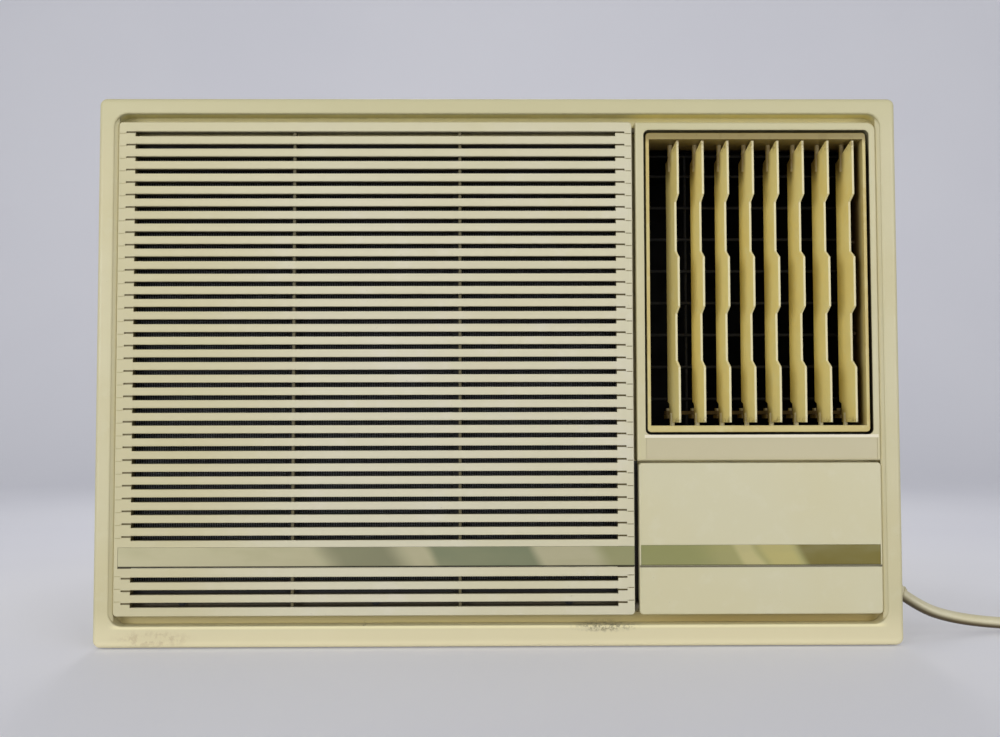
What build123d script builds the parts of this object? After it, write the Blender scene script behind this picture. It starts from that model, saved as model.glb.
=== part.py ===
from build123d import *
import math
import os

# Window air conditioner: a chassis that slides out of a steel outer case, behind a moulded front panel.
# Millimetres, +Z up, X to the right as seen from the front, the front faces -Y.
# The origin is on the ground under the middle of the unit.

# Overall sizes
PANEL_W = 660.0
PANEL_H = 452.0
UNIT_D = 680.0
PANEL_LIFT = 1.0
FRONT_Y = -UNIT_D / 2
REAR_Y = UNIT_D / 2

# Front panel moulding: a flat rim, a sunk channel inside it, and the field of grille, outlet and door
MOULD_WALL = 3.0
SKIRT_D = 70.0
PANEL_CORNER_R = 6.0
PANEL_EDGE_R = 4.0
RIM_SIDE = 13.0
RIM_TOP = 13.0
RIM_BOTTOM = 17.5
RIM_INNER_R = 11.0
RIM_LIP_R = 1.5
CHANNEL_SIDE = 3.5
CHANNEL_TOP = 7.0
CHANNEL_BOTTOM = 8.0
CHANNEL_D = 15.0
FIELD_SETBACK = 1.0
SKIRT_Y = FRONT_Y + SKIRT_D
RIM_X = PANEL_W / 2 - RIM_SIDE
RIM_Z0 = PANEL_LIFT + RIM_BOTTOM
RIM_Z1 = PANEL_H - RIM_TOP
FIELD_X0 = CHANNEL_SIDE - RIM_X
FIELD_X1 = RIM_X - CHANNEL_SIDE
FIELD_Z0 = RIM_Z0 + CHANNEL_BOTTOM
FIELD_Z1 = RIM_Z1 - CHANNEL_TOP
FIELD_Y = FRONT_Y + FIELD_SETBACK
FLOOR_Y = FRONT_Y + CHANNEL_D
FLOOR_REAR_Y = FLOOR_Y + MOULD_WALL

# The upright gap that parts the grille from the outlet and door, and the seam over the door
SPLIT_SHARE = 28 / 165
SPLIT_X = SPLIT_SHARE * PANEL_W
SPLIT_GAP = 3.0
DOOR_H = 123.2
DOOR_SEAM = 1.8
DOOR_SIDE_GAP = 1.0
GRILLE_X0 = FIELD_X0
GRILLE_X1 = SPLIT_X - SPLIT_GAP / 2
RIGHT_X0 = SPLIT_X + SPLIT_GAP / 2
DOOR_X0 = RIGHT_X0 + DOOR_SIDE_GAP
DOOR_X1 = FIELD_X1
DOOR_Z1 = FIELD_Z0 + DOOR_H
SURROUND_Z0 = DOOR_Z1 + DOOR_SEAM

# Intake grille
SLAT_D = 10.0
SLAT_EDGE_R = 0.7
SLOT_H = 3.9
SLOT_PITCH = 10.4
LOW_SLOT_PITCH = 10.2
SLOT_INSET = 13.5
FIRST_SLOT_DROP = 9.7
STRIP_Z = 38.5
STRIP_H = 17.2
STRIP_RECESS = 1.2
GRILLE_WALL = 2.5
GRILLE_CORNER_R = 3.0
GRILLE_RIB_W = 2.2
GRILLE_RIB_SHARES = (0.33, 0.675)
SEAT_GAP = 0.3
STRIP_Z0 = FIELD_Z0 + STRIP_Z
STRIP_Z1 = STRIP_Z0 + STRIP_H
SLOT_X0 = GRILLE_X0 + SLOT_INSET
SLOT_X1 = GRILLE_X1 - SLOT_INSET
SLAT_REAR_Y = FIELD_Y + SLAT_D
GRILLE_REAR_Y = FLOOR_Y - SEAT_GAP

# Hinges of the grille, at its top, and of the control door, at its foot
HINGE_IN = 6.0
HINGE_PIN_R = 2.5
RUN_GAP = 0.05
HINGE_Y = FIELD_Y + HINGE_IN
GRILLE_HINGE_Z = FIELD_Z1 - HINGE_IN
DOOR_HINGE_Z = FIELD_Z0 + HINGE_IN
DOOR_T = 12.0
DOOR_WALL = 2.5
DOOR_REAR_R = 2.2

# Openings in the floor of the channel
BAY_SIDE = 8.0
BAY_TOP = 22.0
BAY_BOTTOM = 21.0
CONTROL_SIDE = 8.0
CONTROL_END = 10.0
CONTROL_BAY_D = 50.0
BAY_X0 = GRILLE_X0 + BAY_SIDE
BAY_X1 = GRILLE_X1 - BAY_SIDE
BAY_Z0 = FIELD_Z0 + BAY_BOTTOM
BAY_Z1 = FIELD_Z1 - BAY_TOP
CONTROL_X0 = RIGHT_X0 + CONTROL_SIDE
CONTROL_X1 = FIELD_X1 - CONTROL_SIDE
CONTROL_Z0 = FIELD_Z0 + CONTROL_END
CONTROL_Z1 = DOOR_Z1 - CONTROL_END
PLATE_Y = FRONT_Y + CONTROL_BAY_D
PLATE_T = 2.0

# Air outlet: a surround raised from the channel floor, a duct behind it, a wire guard in the duct
OUTLET_LEFT = 6.8
OUTLET_RIGHT = 5.5
OUTLET_TOP = 6.3
OUTLET_BOTTOM = 21.2
OUTLET_R = 4.5
SURROUND_CORNER_R = 7.0
SURROUND_EDGE_R = 1.6
DUCT_WALL = 2.5
DUCT_D = 78.0
GUARD_D = 68.0
GUARD_WIRE_R = 1.25
GUARD_PITCH = 28.3
OUTLET_X0 = RIGHT_X0 + OUTLET_LEFT
OUTLET_X1 = FIELD_X1 - OUTLET_RIGHT
OUTLET_Z0 = SURROUND_Z0 + OUTLET_BOTTOM
OUTLET_Z1 = FIELD_Z1 - OUTLET_TOP
DUCT_END_Y = FRONT_Y + DUCT_D
GUARD_Y = FRONT_Y + GUARD_D

# Louvre frame that tilts, and its upright blades that swing together
LOUVRE_GAP = 2.0
LOUVRE_SET = 3.0
LOUVRE_D = 38.0
LOUVRE_SIDE = 2.8
LOUVRE_BAR = 5.4
TRUNNION_R = 3.0
BLADE_COUNT = 8
BLADE_LEFT_IN = 21.1
BLADE_RIGHT_IN = 10.7
BLADE_T = 1.8
BLADE_FRONT = 20.0
BLADE_NARROW = 13.0
BLADE_REAR = 9.0
BLADE_ANGLE = 9.0
BLADE_PIN_R = 2.0
BLADE_SET = 24.75
LINK_REACH = 12.0
LINK_PIN_R = 1.6
LOUVRE_X0 = OUTLET_X0 + LOUVRE_GAP
LOUVRE_X1 = OUTLET_X1 - LOUVRE_GAP
LOUVRE_Z0 = OUTLET_Z0 + LOUVRE_GAP
LOUVRE_Z1 = OUTLET_Z1 - LOUVRE_GAP
LOUVRE_Y0 = FRONT_Y + LOUVRE_SET
LOUVRE_Y1 = LOUVRE_Y0 + LOUVRE_D
TRUNNION_Y = (LOUVRE_Y0 + LOUVRE_Y1) / 2
TRUNNION_Z = (LOUVRE_Z0 + LOUVRE_Z1) / 2
BLADE_Y = FRONT_Y + BLADE_SET
BLADE_X_FIRST = LOUVRE_X0 + LOUVRE_SIDE + BLADE_LEFT_IN
BLADE_X_LAST = LOUVRE_X1 - LOUVRE_SIDE - BLADE_RIGHT_IN
BLADE_PITCH = (BLADE_X_LAST - BLADE_X_FIRST) / (BLADE_COUNT - 1)
BLADE_XS = [BLADE_X_FIRST + BLADE_PITCH * place for place in range(BLADE_COUNT)]
LINK_Z0 = LOUVRE_Z0 + LOUVRE_BAR + 9.3
LINK_T = 3.0
LINK_W = 6.4
EAR_T = 3.0

# Outer case of bent sheet on two rails
SHEET = 1.2
CASE_GAP = 4.0
CASE_SETBACK = 42.0
CASE_LIP = 16.0
CASE_BEND_R = 4.0
RAIL_X = 215.0
RAIL_W = 34.0
RAIL_FLANGE = 16.0
RAIL_T = 2.0
RAIL_HOLE_R = 3.3
RAIL_HOLE_SPACING = 400.0
CASE_X = PANEL_W / 2 - MOULD_WALL - CASE_GAP
CASE_Z0 = PANEL_LIFT + MOULD_WALL + CASE_GAP
CASE_Z1 = PANEL_H - MOULD_WALL - CASE_GAP
CASE_Y0 = FRONT_Y + CASE_SETBACK
CASE_FLOOR = CASE_Z0 + SHEET

# Chassis: base pan, bulkhead, fan line
SLIDE_GAP = 0.3
PAN_T = 1.5
PAN_SIDE_IN = 12.0
PAN_WALL_H = 24.0
PAN_FRONT_H = 30.0
PAN_X = CASE_X - PAN_SIDE_IN
PAN_Z0 = CASE_FLOOR + SLIDE_GAP
PAN_TOP = PAN_Z0 + PAN_T
PAN_Y0 = FLOOR_REAR_Y + SLIDE_GAP
PAN_Y1 = REAR_Y - 20.0
CHASSIS_TOP = CASE_Z1 - SHEET - 6.0
BULKHEAD_Y = FRONT_Y + 222.3
BULKHEAD_REAR_Y = BULKHEAD_Y + SHEET
FAN_X = -60.0
FAN_Z = 230.0
SHAFT_R = 6.0
MOTOR_R = 62.0
MOTOR_Y0 = BULKHEAD_Y + 42.7
MOTOR_L = 120.0
MOTOR_Y1 = MOTOR_Y0 + MOTOR_L
WHEEL_R = 125.0
CHAMBER_R = 140.0
SCROLL_WALL = 4.0
SCROLL_Y0 = DUCT_END_Y + SEAT_GAP
SCROLL_Y1 = BULKHEAD_Y - SEAT_GAP
PROPELLER_R = 186.0
PROPELLER_Y0 = MOTOR_Y1 + 75.0
PROPELLER_D = 45.0
SHROUD_Y = PROPELLER_Y0 + PROPELLER_D + 7.0

# Coils
COIL_PLATE = 1.5
BEND_R = 11.0
BEND_TUBE_R = 4.5
EVAPORATOR_D = 42.0
EVAPORATOR_Y0 = FLOOR_REAR_Y + 4.0
EVAPORATOR_Y1 = EVAPORATOR_Y0 + EVAPORATOR_D
EVAPORATOR_Z0 = BAY_Z0 - 4.0
EVAPORATOR_Z1 = BAY_Z1 + 4.0
EVAPORATOR_X0 = BAY_X0 + 2.0
EVAPORATOR_X1 = BAY_X1 - 5.0
CONDENSER_D = 38.0
CONDENSER_Y1 = REAR_Y - 24.0
CONDENSER_Y0 = CONDENSER_Y1 - CONDENSER_D
CONDENSER_Z0 = PAN_TOP + 16.0
CONDENSER_Z1 = CHASSIS_TOP - 4.0
CONDENSER_X0 = -PAN_X + 26.0
CONDENSER_X1 = PAN_X - 50.0
TUBE_STEP = 2 * BEND_R
TUBE_COUNT = 16
EVAPORATOR_TUBE_Z = EVAPORATOR_Z0 + 8.0
CONDENSER_TUBE_Z = CONDENSER_Z0 + 16.0
FIN_STEP = 9.0
FIN_T = 1.4
FIN_GROOVE = 3.0

# Compressor
COMPRESSOR_X = PAN_X - 96.0
COMPRESSOR_Y = MOTOR_Y1 - 10.0
COMPRESSOR_R = 72.0
COMPRESSOR_H = 262.0
FOOT_R = 84.0
GROMMET_H = 16.0
STUD_R = 4.0

# Controls
KNOB_R = 20.0
KNOB_H = 18.0
KNOB_SHAFT_R = 3.0
KNOB_X1 = CONTROL_X0 + 40.0
KNOB_X2 = CONTROL_X0 + 103.0
KNOB_Z = (CONTROL_Z0 + CONTROL_Z1) / 2 + 6.0
VENT_X = CONTROL_X1 - 22.0
VENT_Z = CONTROL_Z0 + 26.0
VENT_TRAVEL = 18.0
VENT_REACH = 26.0

# Mains cord
CORD_R = 5.0
GLAND_Y = FRONT_Y + 56.0
GLAND_Z = 47.0
GLAND_TILT = 35.0
GLAND_L = 24.0
COIL_X = PANEL_W / 2 + 240.0
COIL_Y = FRONT_Y + 105.0
COIL_START_R = 68.0
COIL_STEP = 5.3
COIL_Z = CORD_R + 1.0
COIL_RISE = 2 * CORD_R + 0.6
COIL_TAIL = 46.0
PLUG_L = 46.0


def span_box(x, y, z):
    """Box between a low and a high limit on each axis."""
    limits = (x, y, z)
    middle = [(low + high) / 2 for low, high in limits]
    size = [high - low for low, high in limits]
    return Pos(*middle) * Box(*size)


def rod(axis, centre, radius, span):
    """Cylinder along one axis. The centre holds the other two coordinates in X, Y, Z order."""
    low, high = span
    middle = (low + high) / 2
    first, second = centre
    if axis == "X":
        place = Pos(middle, first, second) * Rot(0, 90, 0)
    elif axis == "Y":
        place = Pos(first, middle, second) * Rot(90, 0, 0)
    else:
        place = Pos(first, second, middle)
    return place * Cylinder(radius, high - low)


def ring(axis, centre, outer, inner, span):
    """Tube section along one axis."""
    low, high = span
    return rod(axis, centre, outer, span) - rod(axis, centre, inner, (low - 1, high + 1))


def soft_box(x, y, z, radius):
    """Box whose four edges along Y are rounded."""
    body = span_box(x, y, z)
    return fillet(body.edges().filter_by(Axis.Y), radius)


def joined(pieces):
    """One solid out of pieces that overlap."""
    return Part() + list(pieces)


def apart(pieces):
    """Separate solids kept in one group."""
    return Compound(children=[solid for piece in pieces for solid in piece.solids()])


def bend_radii(points, most):
    """Bend radius at each inner point: as large as the shorter run takes, up to the given radius."""
    radii = []
    for before, here, after in zip(points, points[1:], points[2:]):
        run_in = Vector(*here) - Vector(*before)
        run_out = Vector(*after) - Vector(*here)
        turn = math.radians(run_in.get_angle(run_out))
        shorter = min(run_in.length, run_out.length)
        radii.append(min(most, 0.45 * shorter / math.tan(turn / 2)))
    return radii


def pipe(points, radius, most):
    """Bent pipe of straight runs and tangent arcs."""
    path = FilletPolyline(*points, radius=bend_radii(points, most))
    start = Plane(origin=path @ 0, z_dir=path % 0)
    return sweep(start * Circle(radius), path=path)


def slot_heights():
    """Middle height of every air slot in the grille, above and below the trim strip."""
    top = FIELD_Z1 - FIRST_SLOT_DROP
    rows = int((top - STRIP_Z1 - 7.0) / SLOT_PITCH) + 1
    heights = [top - SLOT_PITCH * row for row in range(rows)]
    low_top = STRIP_Z0 - 9.1
    rows = int((low_top - FIELD_Z0 - 8.5) / LOW_SLOT_PITCH) + 1
    heights += [low_top - LOW_SLOT_PITCH * row for row in range(rows)]
    return heights


def make_front_panel():
    """Moulded panel: rim and skirt, sunk channel, outlet surround with its duct, bay for the controls."""
    half = PANEL_W / 2
    outer = soft_box((-half, half), (FRONT_Y, SKIRT_Y), (PANEL_LIFT, PANEL_H), PANEL_CORNER_R)
    outer = fillet(outer.faces().sort_by(Axis.Y)[0].edges(), PANEL_EDGE_R)
    inner = half - MOULD_WALL
    hollow = soft_box(
        (-inner, inner),
        (FRONT_Y + MOULD_WALL, SKIRT_Y + 1),
        (PANEL_LIFT + MOULD_WALL, PANEL_H - MOULD_WALL),
        PANEL_CORNER_R - MOULD_WALL,
    )
    collar = soft_box(
        (-RIM_X - MOULD_WALL, RIM_X + MOULD_WALL),
        (FRONT_Y + MOULD_WALL / 2, FLOOR_REAR_Y),
        (RIM_Z0 - MOULD_WALL, RIM_Z1 + MOULD_WALL),
        RIM_INNER_R + MOULD_WALL,
    )
    well = soft_box((-RIM_X, RIM_X), (FRONT_Y - 1, FLOOR_Y), (RIM_Z0, RIM_Z1), RIM_INNER_R)
    panel = outer - hollow + collar - well
    rim = panel.faces().sort_by(Axis.Y)[0]
    panel = fillet(rim.inner_wires()[0].edges(), RIM_LIP_R)
    panel -= span_box((BAY_X0, BAY_X1), (FLOOR_Y - 1, FLOOR_REAR_Y + 1), (BAY_Z0, BAY_Z1))

    surround = span_box((RIGHT_X0, FIELD_X1), (FIELD_Y, FLOOR_REAR_Y), (SURROUND_Z0, FIELD_Z1))
    upright = surround.edges().filter_by(Axis.Y).sort_by(Axis.X)[-2:]
    surround = fillet(upright.sort_by(Axis.Z)[-1], SURROUND_CORNER_R)
    surround = fillet(surround.faces().sort_by(Axis.Y)[0].edges(), SURROUND_EDGE_R)
    duct = span_box(
        (OUTLET_X0 - DUCT_WALL, OUTLET_X1 + DUCT_WALL),
        (FLOOR_Y, DUCT_END_Y),
        (OUTLET_Z0 - DUCT_WALL, OUTLET_Z1 + DUCT_WALL),
    )
    bay = span_box(
        (CONTROL_X0 - DUCT_WALL, CONTROL_X1 + DUCT_WALL),
        (FLOOR_Y, PLATE_Y),
        (CONTROL_Z0 - DUCT_WALL, CONTROL_Z1 + DUCT_WALL),
    )
    lug = span_box(
        (GRILLE_X1 + 0.8, DOOR_X0 - 0.8),
        (HINGE_Y, FLOOR_Y + 1),
        (DOOR_HINGE_Z - 4, DOOR_HINGE_Z + 4),
    )
    lug += rod("X", (HINGE_Y, DOOR_HINGE_Z), 4.0, (GRILLE_X1 + 0.8, DOOR_X0 - 0.8))
    panel += [surround, duct, bay, lug]
    outlet = soft_box(
        (OUTLET_X0, OUTLET_X1), (FRONT_Y - 1, DUCT_END_Y + 1), (OUTLET_Z0, OUTLET_Z1), OUTLET_R
    )
    controls = span_box(
        (CONTROL_X0, CONTROL_X1), (FLOOR_Y - 1, PLATE_Y + 1), (CONTROL_Z0, CONTROL_Z1)
    )
    ledge = span_box(
        (RIGHT_X0 + 7, FIELD_X1 - 2.2),
        (FIELD_Y - 1, FIELD_Y + 0.7),
        (SURROUND_Z0 + 1.2, OUTLET_Z0 - 2.7),
    )
    pin_bore = HINGE_PIN_R + RUN_GAP
    trunnion_bore = TRUNNION_R + RUN_GAP
    bores = [
        rod("X", (HINGE_Y, GRILLE_HINGE_Z), pin_bore, (-RIM_X - MOULD_WALL - 1, -RIM_X + 1)),
        rod("X", (HINGE_Y, GRILLE_HINGE_Z), pin_bore, (RIGHT_X0 - 1, RIGHT_X0 + 4.5)),
        rod("X", (HINGE_Y, DOOR_HINGE_Z), pin_bore, (RIM_X - 1, RIM_X + MOULD_WALL + 1)),
        rod("X", (HINGE_Y, DOOR_HINGE_Z), pin_bore, (GRILLE_X1, DOOR_X0)),
        rod("X", (TRUNNION_Y, TRUNNION_Z), trunnion_bore, (OUTLET_X0 - DUCT_WALL - 1, OUTLET_X0 + 1)),
        rod("X", (TRUNNION_Y, TRUNNION_Z), trunnion_bore, (OUTLET_X1 - 1, OUTLET_X1 + DUCT_WALL + 1)),
        rod("X", (GLAND_Y, GLAND_Z), 7.1, (half - MOULD_WALL - 1, half + 1)),
    ]
    bores += [rod("Y", (x, PANEL_SCREW_Z), 2.1, (FLOOR_Y - 1, FLOOR_REAR_Y + 1)) for x in PANEL_SCREW_XS]
    return panel - outlet - controls - ledge - bores


PANEL_SCREW_Z = FIELD_Z0 + 10.0
PANEL_SCREW_XS = (BAY_X0 + 45.0, (BAY_X0 + BAY_X1) / 2, BAY_X1 - 45.0)


def make_panel_screws():
    """Three screws through the foot of the panel into the front wall of the base pan."""
    screws = []
    for x in PANEL_SCREW_XS:
        head = rod("Y", (x, PANEL_SCREW_Z), 3.6, (FLOOR_Y - 2.2, FLOOR_Y))
        shank = rod("Y", (x, PANEL_SCREW_Z), 2.0, (FLOOR_Y - 0.5, PAN_Y0 + PAN_T + 6))
        sunk = (FLOOR_Y - 3, FLOOR_Y - 1.4)
        cross = span_box((x - 2, x + 2), sunk, (PANEL_SCREW_Z - 0.5, PANEL_SCREW_Z + 0.5))
        cross += span_box((x - 0.5, x + 0.5), sunk, (PANEL_SCREW_Z - 2, PANEL_SCREW_Z + 2))
        screws.append(head + shank - cross)
    return apart(screws)


def make_intake_grille():
    """Slotted grille with a recess for its trim strip, hung on two pins at the top."""
    body = soft_box((GRILLE_X0, GRILLE_X1), (FIELD_Y, SLAT_REAR_Y), (FIELD_Z0, FIELD_Z1), GRILLE_CORNER_R)
    body = fillet(body.faces().sort_by(Axis.Y)[0].edges(), SLAT_EDGE_R)
    heights = slot_heights()
    body -= [
        span_box((SLOT_X0, SLOT_X1), (FIELD_Y - 1, SLAT_REAR_Y + 1), (z - SLOT_H / 2, z + SLOT_H / 2))
        for z in heights
    ]
    front = body.faces().sort_by(Axis.Y)[0]
    mouths = [edge for wire in front.inner_wires() for edge in wire.edges().filter_by(Axis.X)]
    body = fillet(mouths, SLAT_EDGE_R)
    rib_half = GRILLE_RIB_W / 2
    rib_y = (FIELD_Y + 3.5, SLAT_REAR_Y)
    ribs = []
    for share in GRILLE_RIB_SHARES:
        x = SLOT_X0 + share * (SLOT_X1 - SLOT_X0)
        ribs.append(span_box((x - rib_half, x + rib_half), rib_y, (FIELD_Z0 + 4, FIELD_Z1 - 4)))
    wall_y = (SLAT_REAR_Y - 2, GRILLE_REAR_Y)
    wall = span_box((GRILLE_X0, GRILLE_X1), wall_y, (FIELD_Z0, GRILLE_HINGE_Z - 2))
    wall = fillet(wall.edges().filter_by(Axis.Y).group_by(Axis.Z)[0], GRILLE_CORNER_R)
    wall -= span_box(
        (GRILLE_X0 + GRILLE_WALL, GRILLE_X1 - GRILLE_WALL),
        (SLAT_REAR_Y - 3, GRILLE_REAR_Y + 1),
        (FIELD_Z0 + GRILLE_WALL, FIELD_Z1),
    )
    pins = [
        rod("X", (HINGE_Y, GRILLE_HINGE_Z), HINGE_PIN_R, (-RIM_X - MOULD_WALL + 0.5, GRILLE_X0 + 4)),
        rod("X", (HINGE_Y, GRILLE_HINGE_Z), HINGE_PIN_R, (GRILLE_X1 - 4, RIGHT_X0 + 4)),
    ]
    body += ribs + [wall] + pins
    grooves = []
    for z in heights:
        upper = z + SLOT_H / 2
        for end, out in ((SLOT_X0, -1), (SLOT_X1, 1)):
            groove = sorted((end - out, end + out * 7.5))
            line = sorted((end + out * 7.0, end + out * (SLOT_INSET + 1)))
            line_z = upper + (-1.5 if z > STRIP_Z0 else 1.2)
            grooves.append(span_box(groove, (FIELD_Y - 1, FIELD_Y + 1.1), (upper - 1.5, upper)))
            grooves.append(span_box(line, (FIELD_Y - 1, FIELD_Y + 0.45), (line_z - 0.7, line_z)))
    recess = span_box(
        (GRILLE_X0 + 3.2, GRILLE_X1 + 1), (FIELD_Y - 1, FIELD_Y + STRIP_RECESS), (STRIP_Z0, STRIP_Z1)
    )
    return body - grooves - recess


def make_grille_strip():
    """Thin bright strip laid in the recess of the grille."""
    return span_box(
        (GRILLE_X0 + 3.4, GRILLE_X1 - 0.2),
        (FIELD_Y + 0.2, FIELD_Y + STRIP_RECESS),
        (STRIP_Z0 + 0.6, STRIP_Z1 - 0.2),
    )


FILTER_X0 = GRILLE_X0 + 5.0
FILTER_X1 = GRILLE_X1 - 5.0
FILTER_Z0 = FIELD_Z0 + 15.0
FILTER_Z1 = GRILLE_HINGE_Z - 8.0
FILTER_Y = SLAT_REAR_Y + 3.0


def make_filter_frame():
    """Light frame of the air filter, behind the slats."""
    body = span_box((FILTER_X0, FILTER_X1), (SLAT_REAR_Y, FILTER_Y), (FILTER_Z0, FILTER_Z1))
    cut = (SLAT_REAR_Y - 1, FILTER_Y + 1)
    third = (FILTER_X1 - FILTER_X0 - 8) / 3
    middle = (FILTER_Z0 + FILTER_Z1) / 2
    for place in range(3):
        left = FILTER_X0 + 8 + third * place
        body -= span_box((left, left + third - 8), cut, (FILTER_Z0 + 8, middle - 4))
        body -= span_box((left, left + third - 8), cut, (middle + 4, FILTER_Z1 - 8))
    return body


def make_filter_net():
    """Fine net stretched over the back of the filter frame."""
    return span_box((FILTER_X0, FILTER_X1), (FILTER_Y, FILTER_Y + 0.5), (FILTER_Z0, FILTER_Z1))


def make_control_door():
    """Hollow door over the controls, hung on two pins at its foot."""
    rear = FIELD_Y + DOOR_T
    body = soft_box((DOOR_X0, DOOR_X1), (FIELD_Y, rear), (FIELD_Z0, DOOR_Z1), GRILLE_CORNER_R)
    body = fillet(body.faces().sort_by(Axis.Y)[0].edges(), 1.2)
    body = fillet(body.faces().sort_by(Axis.Y)[-1].edges(), DOOR_REAR_R)
    body -= span_box(
        (DOOR_X0 + DOOR_WALL, DOOR_X1 - DOOR_WALL),
        (FIELD_Y + DOOR_WALL, rear + 1),
        (FIELD_Z0 + DOOR_WALL, DOOR_Z1 - DOOR_WALL),
    )
    body += [
        rod("X", (HINGE_Y, DOOR_HINGE_Z), HINGE_PIN_R, (GRILLE_X1 + 1.2, DOOR_X0 + 4)),
        rod("X", (HINGE_Y, DOOR_HINGE_Z), HINGE_PIN_R, (DOOR_X1 - 4, RIM_X + MOULD_WALL - 0.5)),
    ]
    return body - span_box(
        (DOOR_X0 + 1.2, DOOR_X1 - 1.4),
        (FIELD_Y - 1, FIELD_Y + STRIP_RECESS),
        (STRIP_Z0 + 0.7, STRIP_Z1 + 0.7),
    )


def make_door_strip():
    """Thin bright strip laid in the recess of the door."""
    return span_box(
        (DOOR_X0 + 1.4, DOOR_X1 - 1.6),
        (FIELD_Y + 0.2, FIELD_Y + STRIP_RECESS),
        (STRIP_Z0 + 1.3, STRIP_Z1 + 0.5),
    )


def make_louvre_frame():
    """Deep frame on two side trunnions, bored for the pins of the blades."""
    body = soft_box((LOUVRE_X0, LOUVRE_X1), (LOUVRE_Y0, LOUVRE_Y1), (LOUVRE_Z0, LOUVRE_Z1), OUTLET_R - 1.5)
    body = fillet(body.faces().sort_by(Axis.Y)[0].edges(), 0.8)
    body -= span_box(
        (LOUVRE_X0 + LOUVRE_SIDE, LOUVRE_X1 - LOUVRE_SIDE),
        (LOUVRE_Y0 - 1, LOUVRE_Y1 + 1),
        (LOUVRE_Z0 + LOUVRE_BAR, LOUVRE_Z1 - LOUVRE_BAR),
    )
    reach = LOUVRE_GAP + DUCT_WALL - 0.3
    centre = (TRUNNION_Y, TRUNNION_Z)
    body += [
        rod("X", centre, TRUNNION_R, (LOUVRE_X0 - reach, LOUVRE_X0 + 1)),
        rod("X", centre, TRUNNION_R, (LOUVRE_X1 - 1, LOUVRE_X1 + reach)),
    ]
    inside = LOUVRE_X1 - LOUVRE_SIDE
    body += [
        rod("X", (LOUVRE_Y0 + 25, z), 1.6, (inside - 3, inside + 1))
        for z in (TRUNNION_Z + 36.6, TRUNNION_Z - 41.4)
    ]
    bore = BLADE_PIN_R + RUN_GAP
    low = (LOUVRE_Z0 + 1.2, LOUVRE_Z0 + LOUVRE_BAR + 1)
    high = (LOUVRE_Z1 - LOUVRE_BAR - 1, LOUVRE_Z1 - 1.2)
    return body - [rod("Z", (x, BLADE_Y), bore, span) for x in BLADE_XS for span in (low, high)]


def make_blade(place):
    """Upright blade with a waved front edge, its two pivot pins and the ear that the link bar drives."""
    foot = LOUVRE_Z0 + LOUVRE_BAR + 2.6
    head = LOUVRE_Z1 - LOUVRE_BAR - 0.8
    tall = head - foot
    slope = 0.024 * tall
    wave = [(0.0, -BLADE_FRONT)]
    for share, before, after in (
        (0.195, BLADE_FRONT, BLADE_NARROW),
        (0.386, BLADE_NARROW, BLADE_FRONT),
        (0.585, BLADE_FRONT, BLADE_NARROW),
        (0.786, BLADE_NARROW, BLADE_FRONT),
    ):
        wave.append((share * tall, -before))
        wave.append((share * tall + slope, -after))
    outline = [(depth, foot + rise) for rise, depth in wave]
    outline += [
        (-BLADE_FRONT, head),
        (-BLADE_FRONT + 2, head),
        (BLADE_REAR, head - 13),
        (BLADE_REAR, LINK_Z0 + 11),
        (BLADE_REAR - 4, LINK_Z0 + 9),
        (BLADE_REAR - 4, foot),
    ]
    plate = extrude(Plane.YZ * make_face(Polyline(*outline, close=True)), amount=BLADE_T / 2, both=True)
    ear = span_box((-2.6, 2.6), (BLADE_REAR - 5, LINK_REACH + 2.6), (LINK_Z0 - 0.4 - EAR_T, LINK_Z0 - 0.4))
    body = joined(
        [
            plate,
            ear,
            rod("Z", (0, 0), BLADE_PIN_R, (LOUVRE_Z0 + 1.6, foot + 8)),
            rod("Z", (0, 0), BLADE_PIN_R, (head - 22, LOUVRE_Z1 - 1.6)),
            rod("Z", (0, LINK_REACH), LINK_PIN_R, (LINK_Z0 - 1, LINK_Z0 + LINK_T + 2.2)),
        ]
    )
    return Pos(BLADE_XS[place], BLADE_Y, 0) * Rot(0, 0, BLADE_ANGLE) * body


def link_pin(place):
    """Where the drive pin of a blade stands at rest."""
    turn = math.radians(BLADE_ANGLE)
    return (BLADE_XS[place] - LINK_REACH * math.sin(turn), BLADE_Y + LINK_REACH * math.cos(turn))


def make_link_bar():
    """Flat bar that ties the blades together at their rear pins."""
    first, last = link_pin(0), link_pin(BLADE_COUNT - 1)
    half = LINK_W / 2
    span = (LINK_Z0, LINK_Z0 + LINK_T)
    body = span_box((first[0], last[0]), (first[1] - half, first[1] + half), span)
    body += [rod("Z", end, half, span) for end in (first, last)]
    through = (LINK_Z0 - 1, LINK_Z0 + LINK_T + 1)
    holes = [rod("Z", first, LINK_PIN_R + 0.08, through)]
    holes += [rod("Z", link_pin(place), LINK_PIN_R + 0.35, through) for place in range(1, BLADE_COUNT)]
    return body - holes


def make_wire_guard():
    """Level guard wires in the outlet duct, welded to two uprights."""
    low, high = OUTLET_Z0 + 4, OUTLET_Z1 - 4
    rows = int((OUTLET_Z1 - 8 - OUTLET_Z0 - 30) / GUARD_PITCH) + 1
    heights = [OUTLET_Z0 + 30.3 + GUARD_PITCH * row for row in range(rows)] + [OUTLET_Z1 - 6.5]
    wires = [rod("X", (GUARD_Y, z), GUARD_WIRE_R, (OUTLET_X0 + 0.2, OUTLET_X1 - 0.2)) for z in heights]
    back = GUARD_Y + 2 * GUARD_WIRE_R - 0.4
    wires += [rod("Z", (x, back), GUARD_WIRE_R, (low, high)) for x in (OUTLET_X0 + 46, OUTLET_X1 - 46)]
    return joined(wires)


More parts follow.
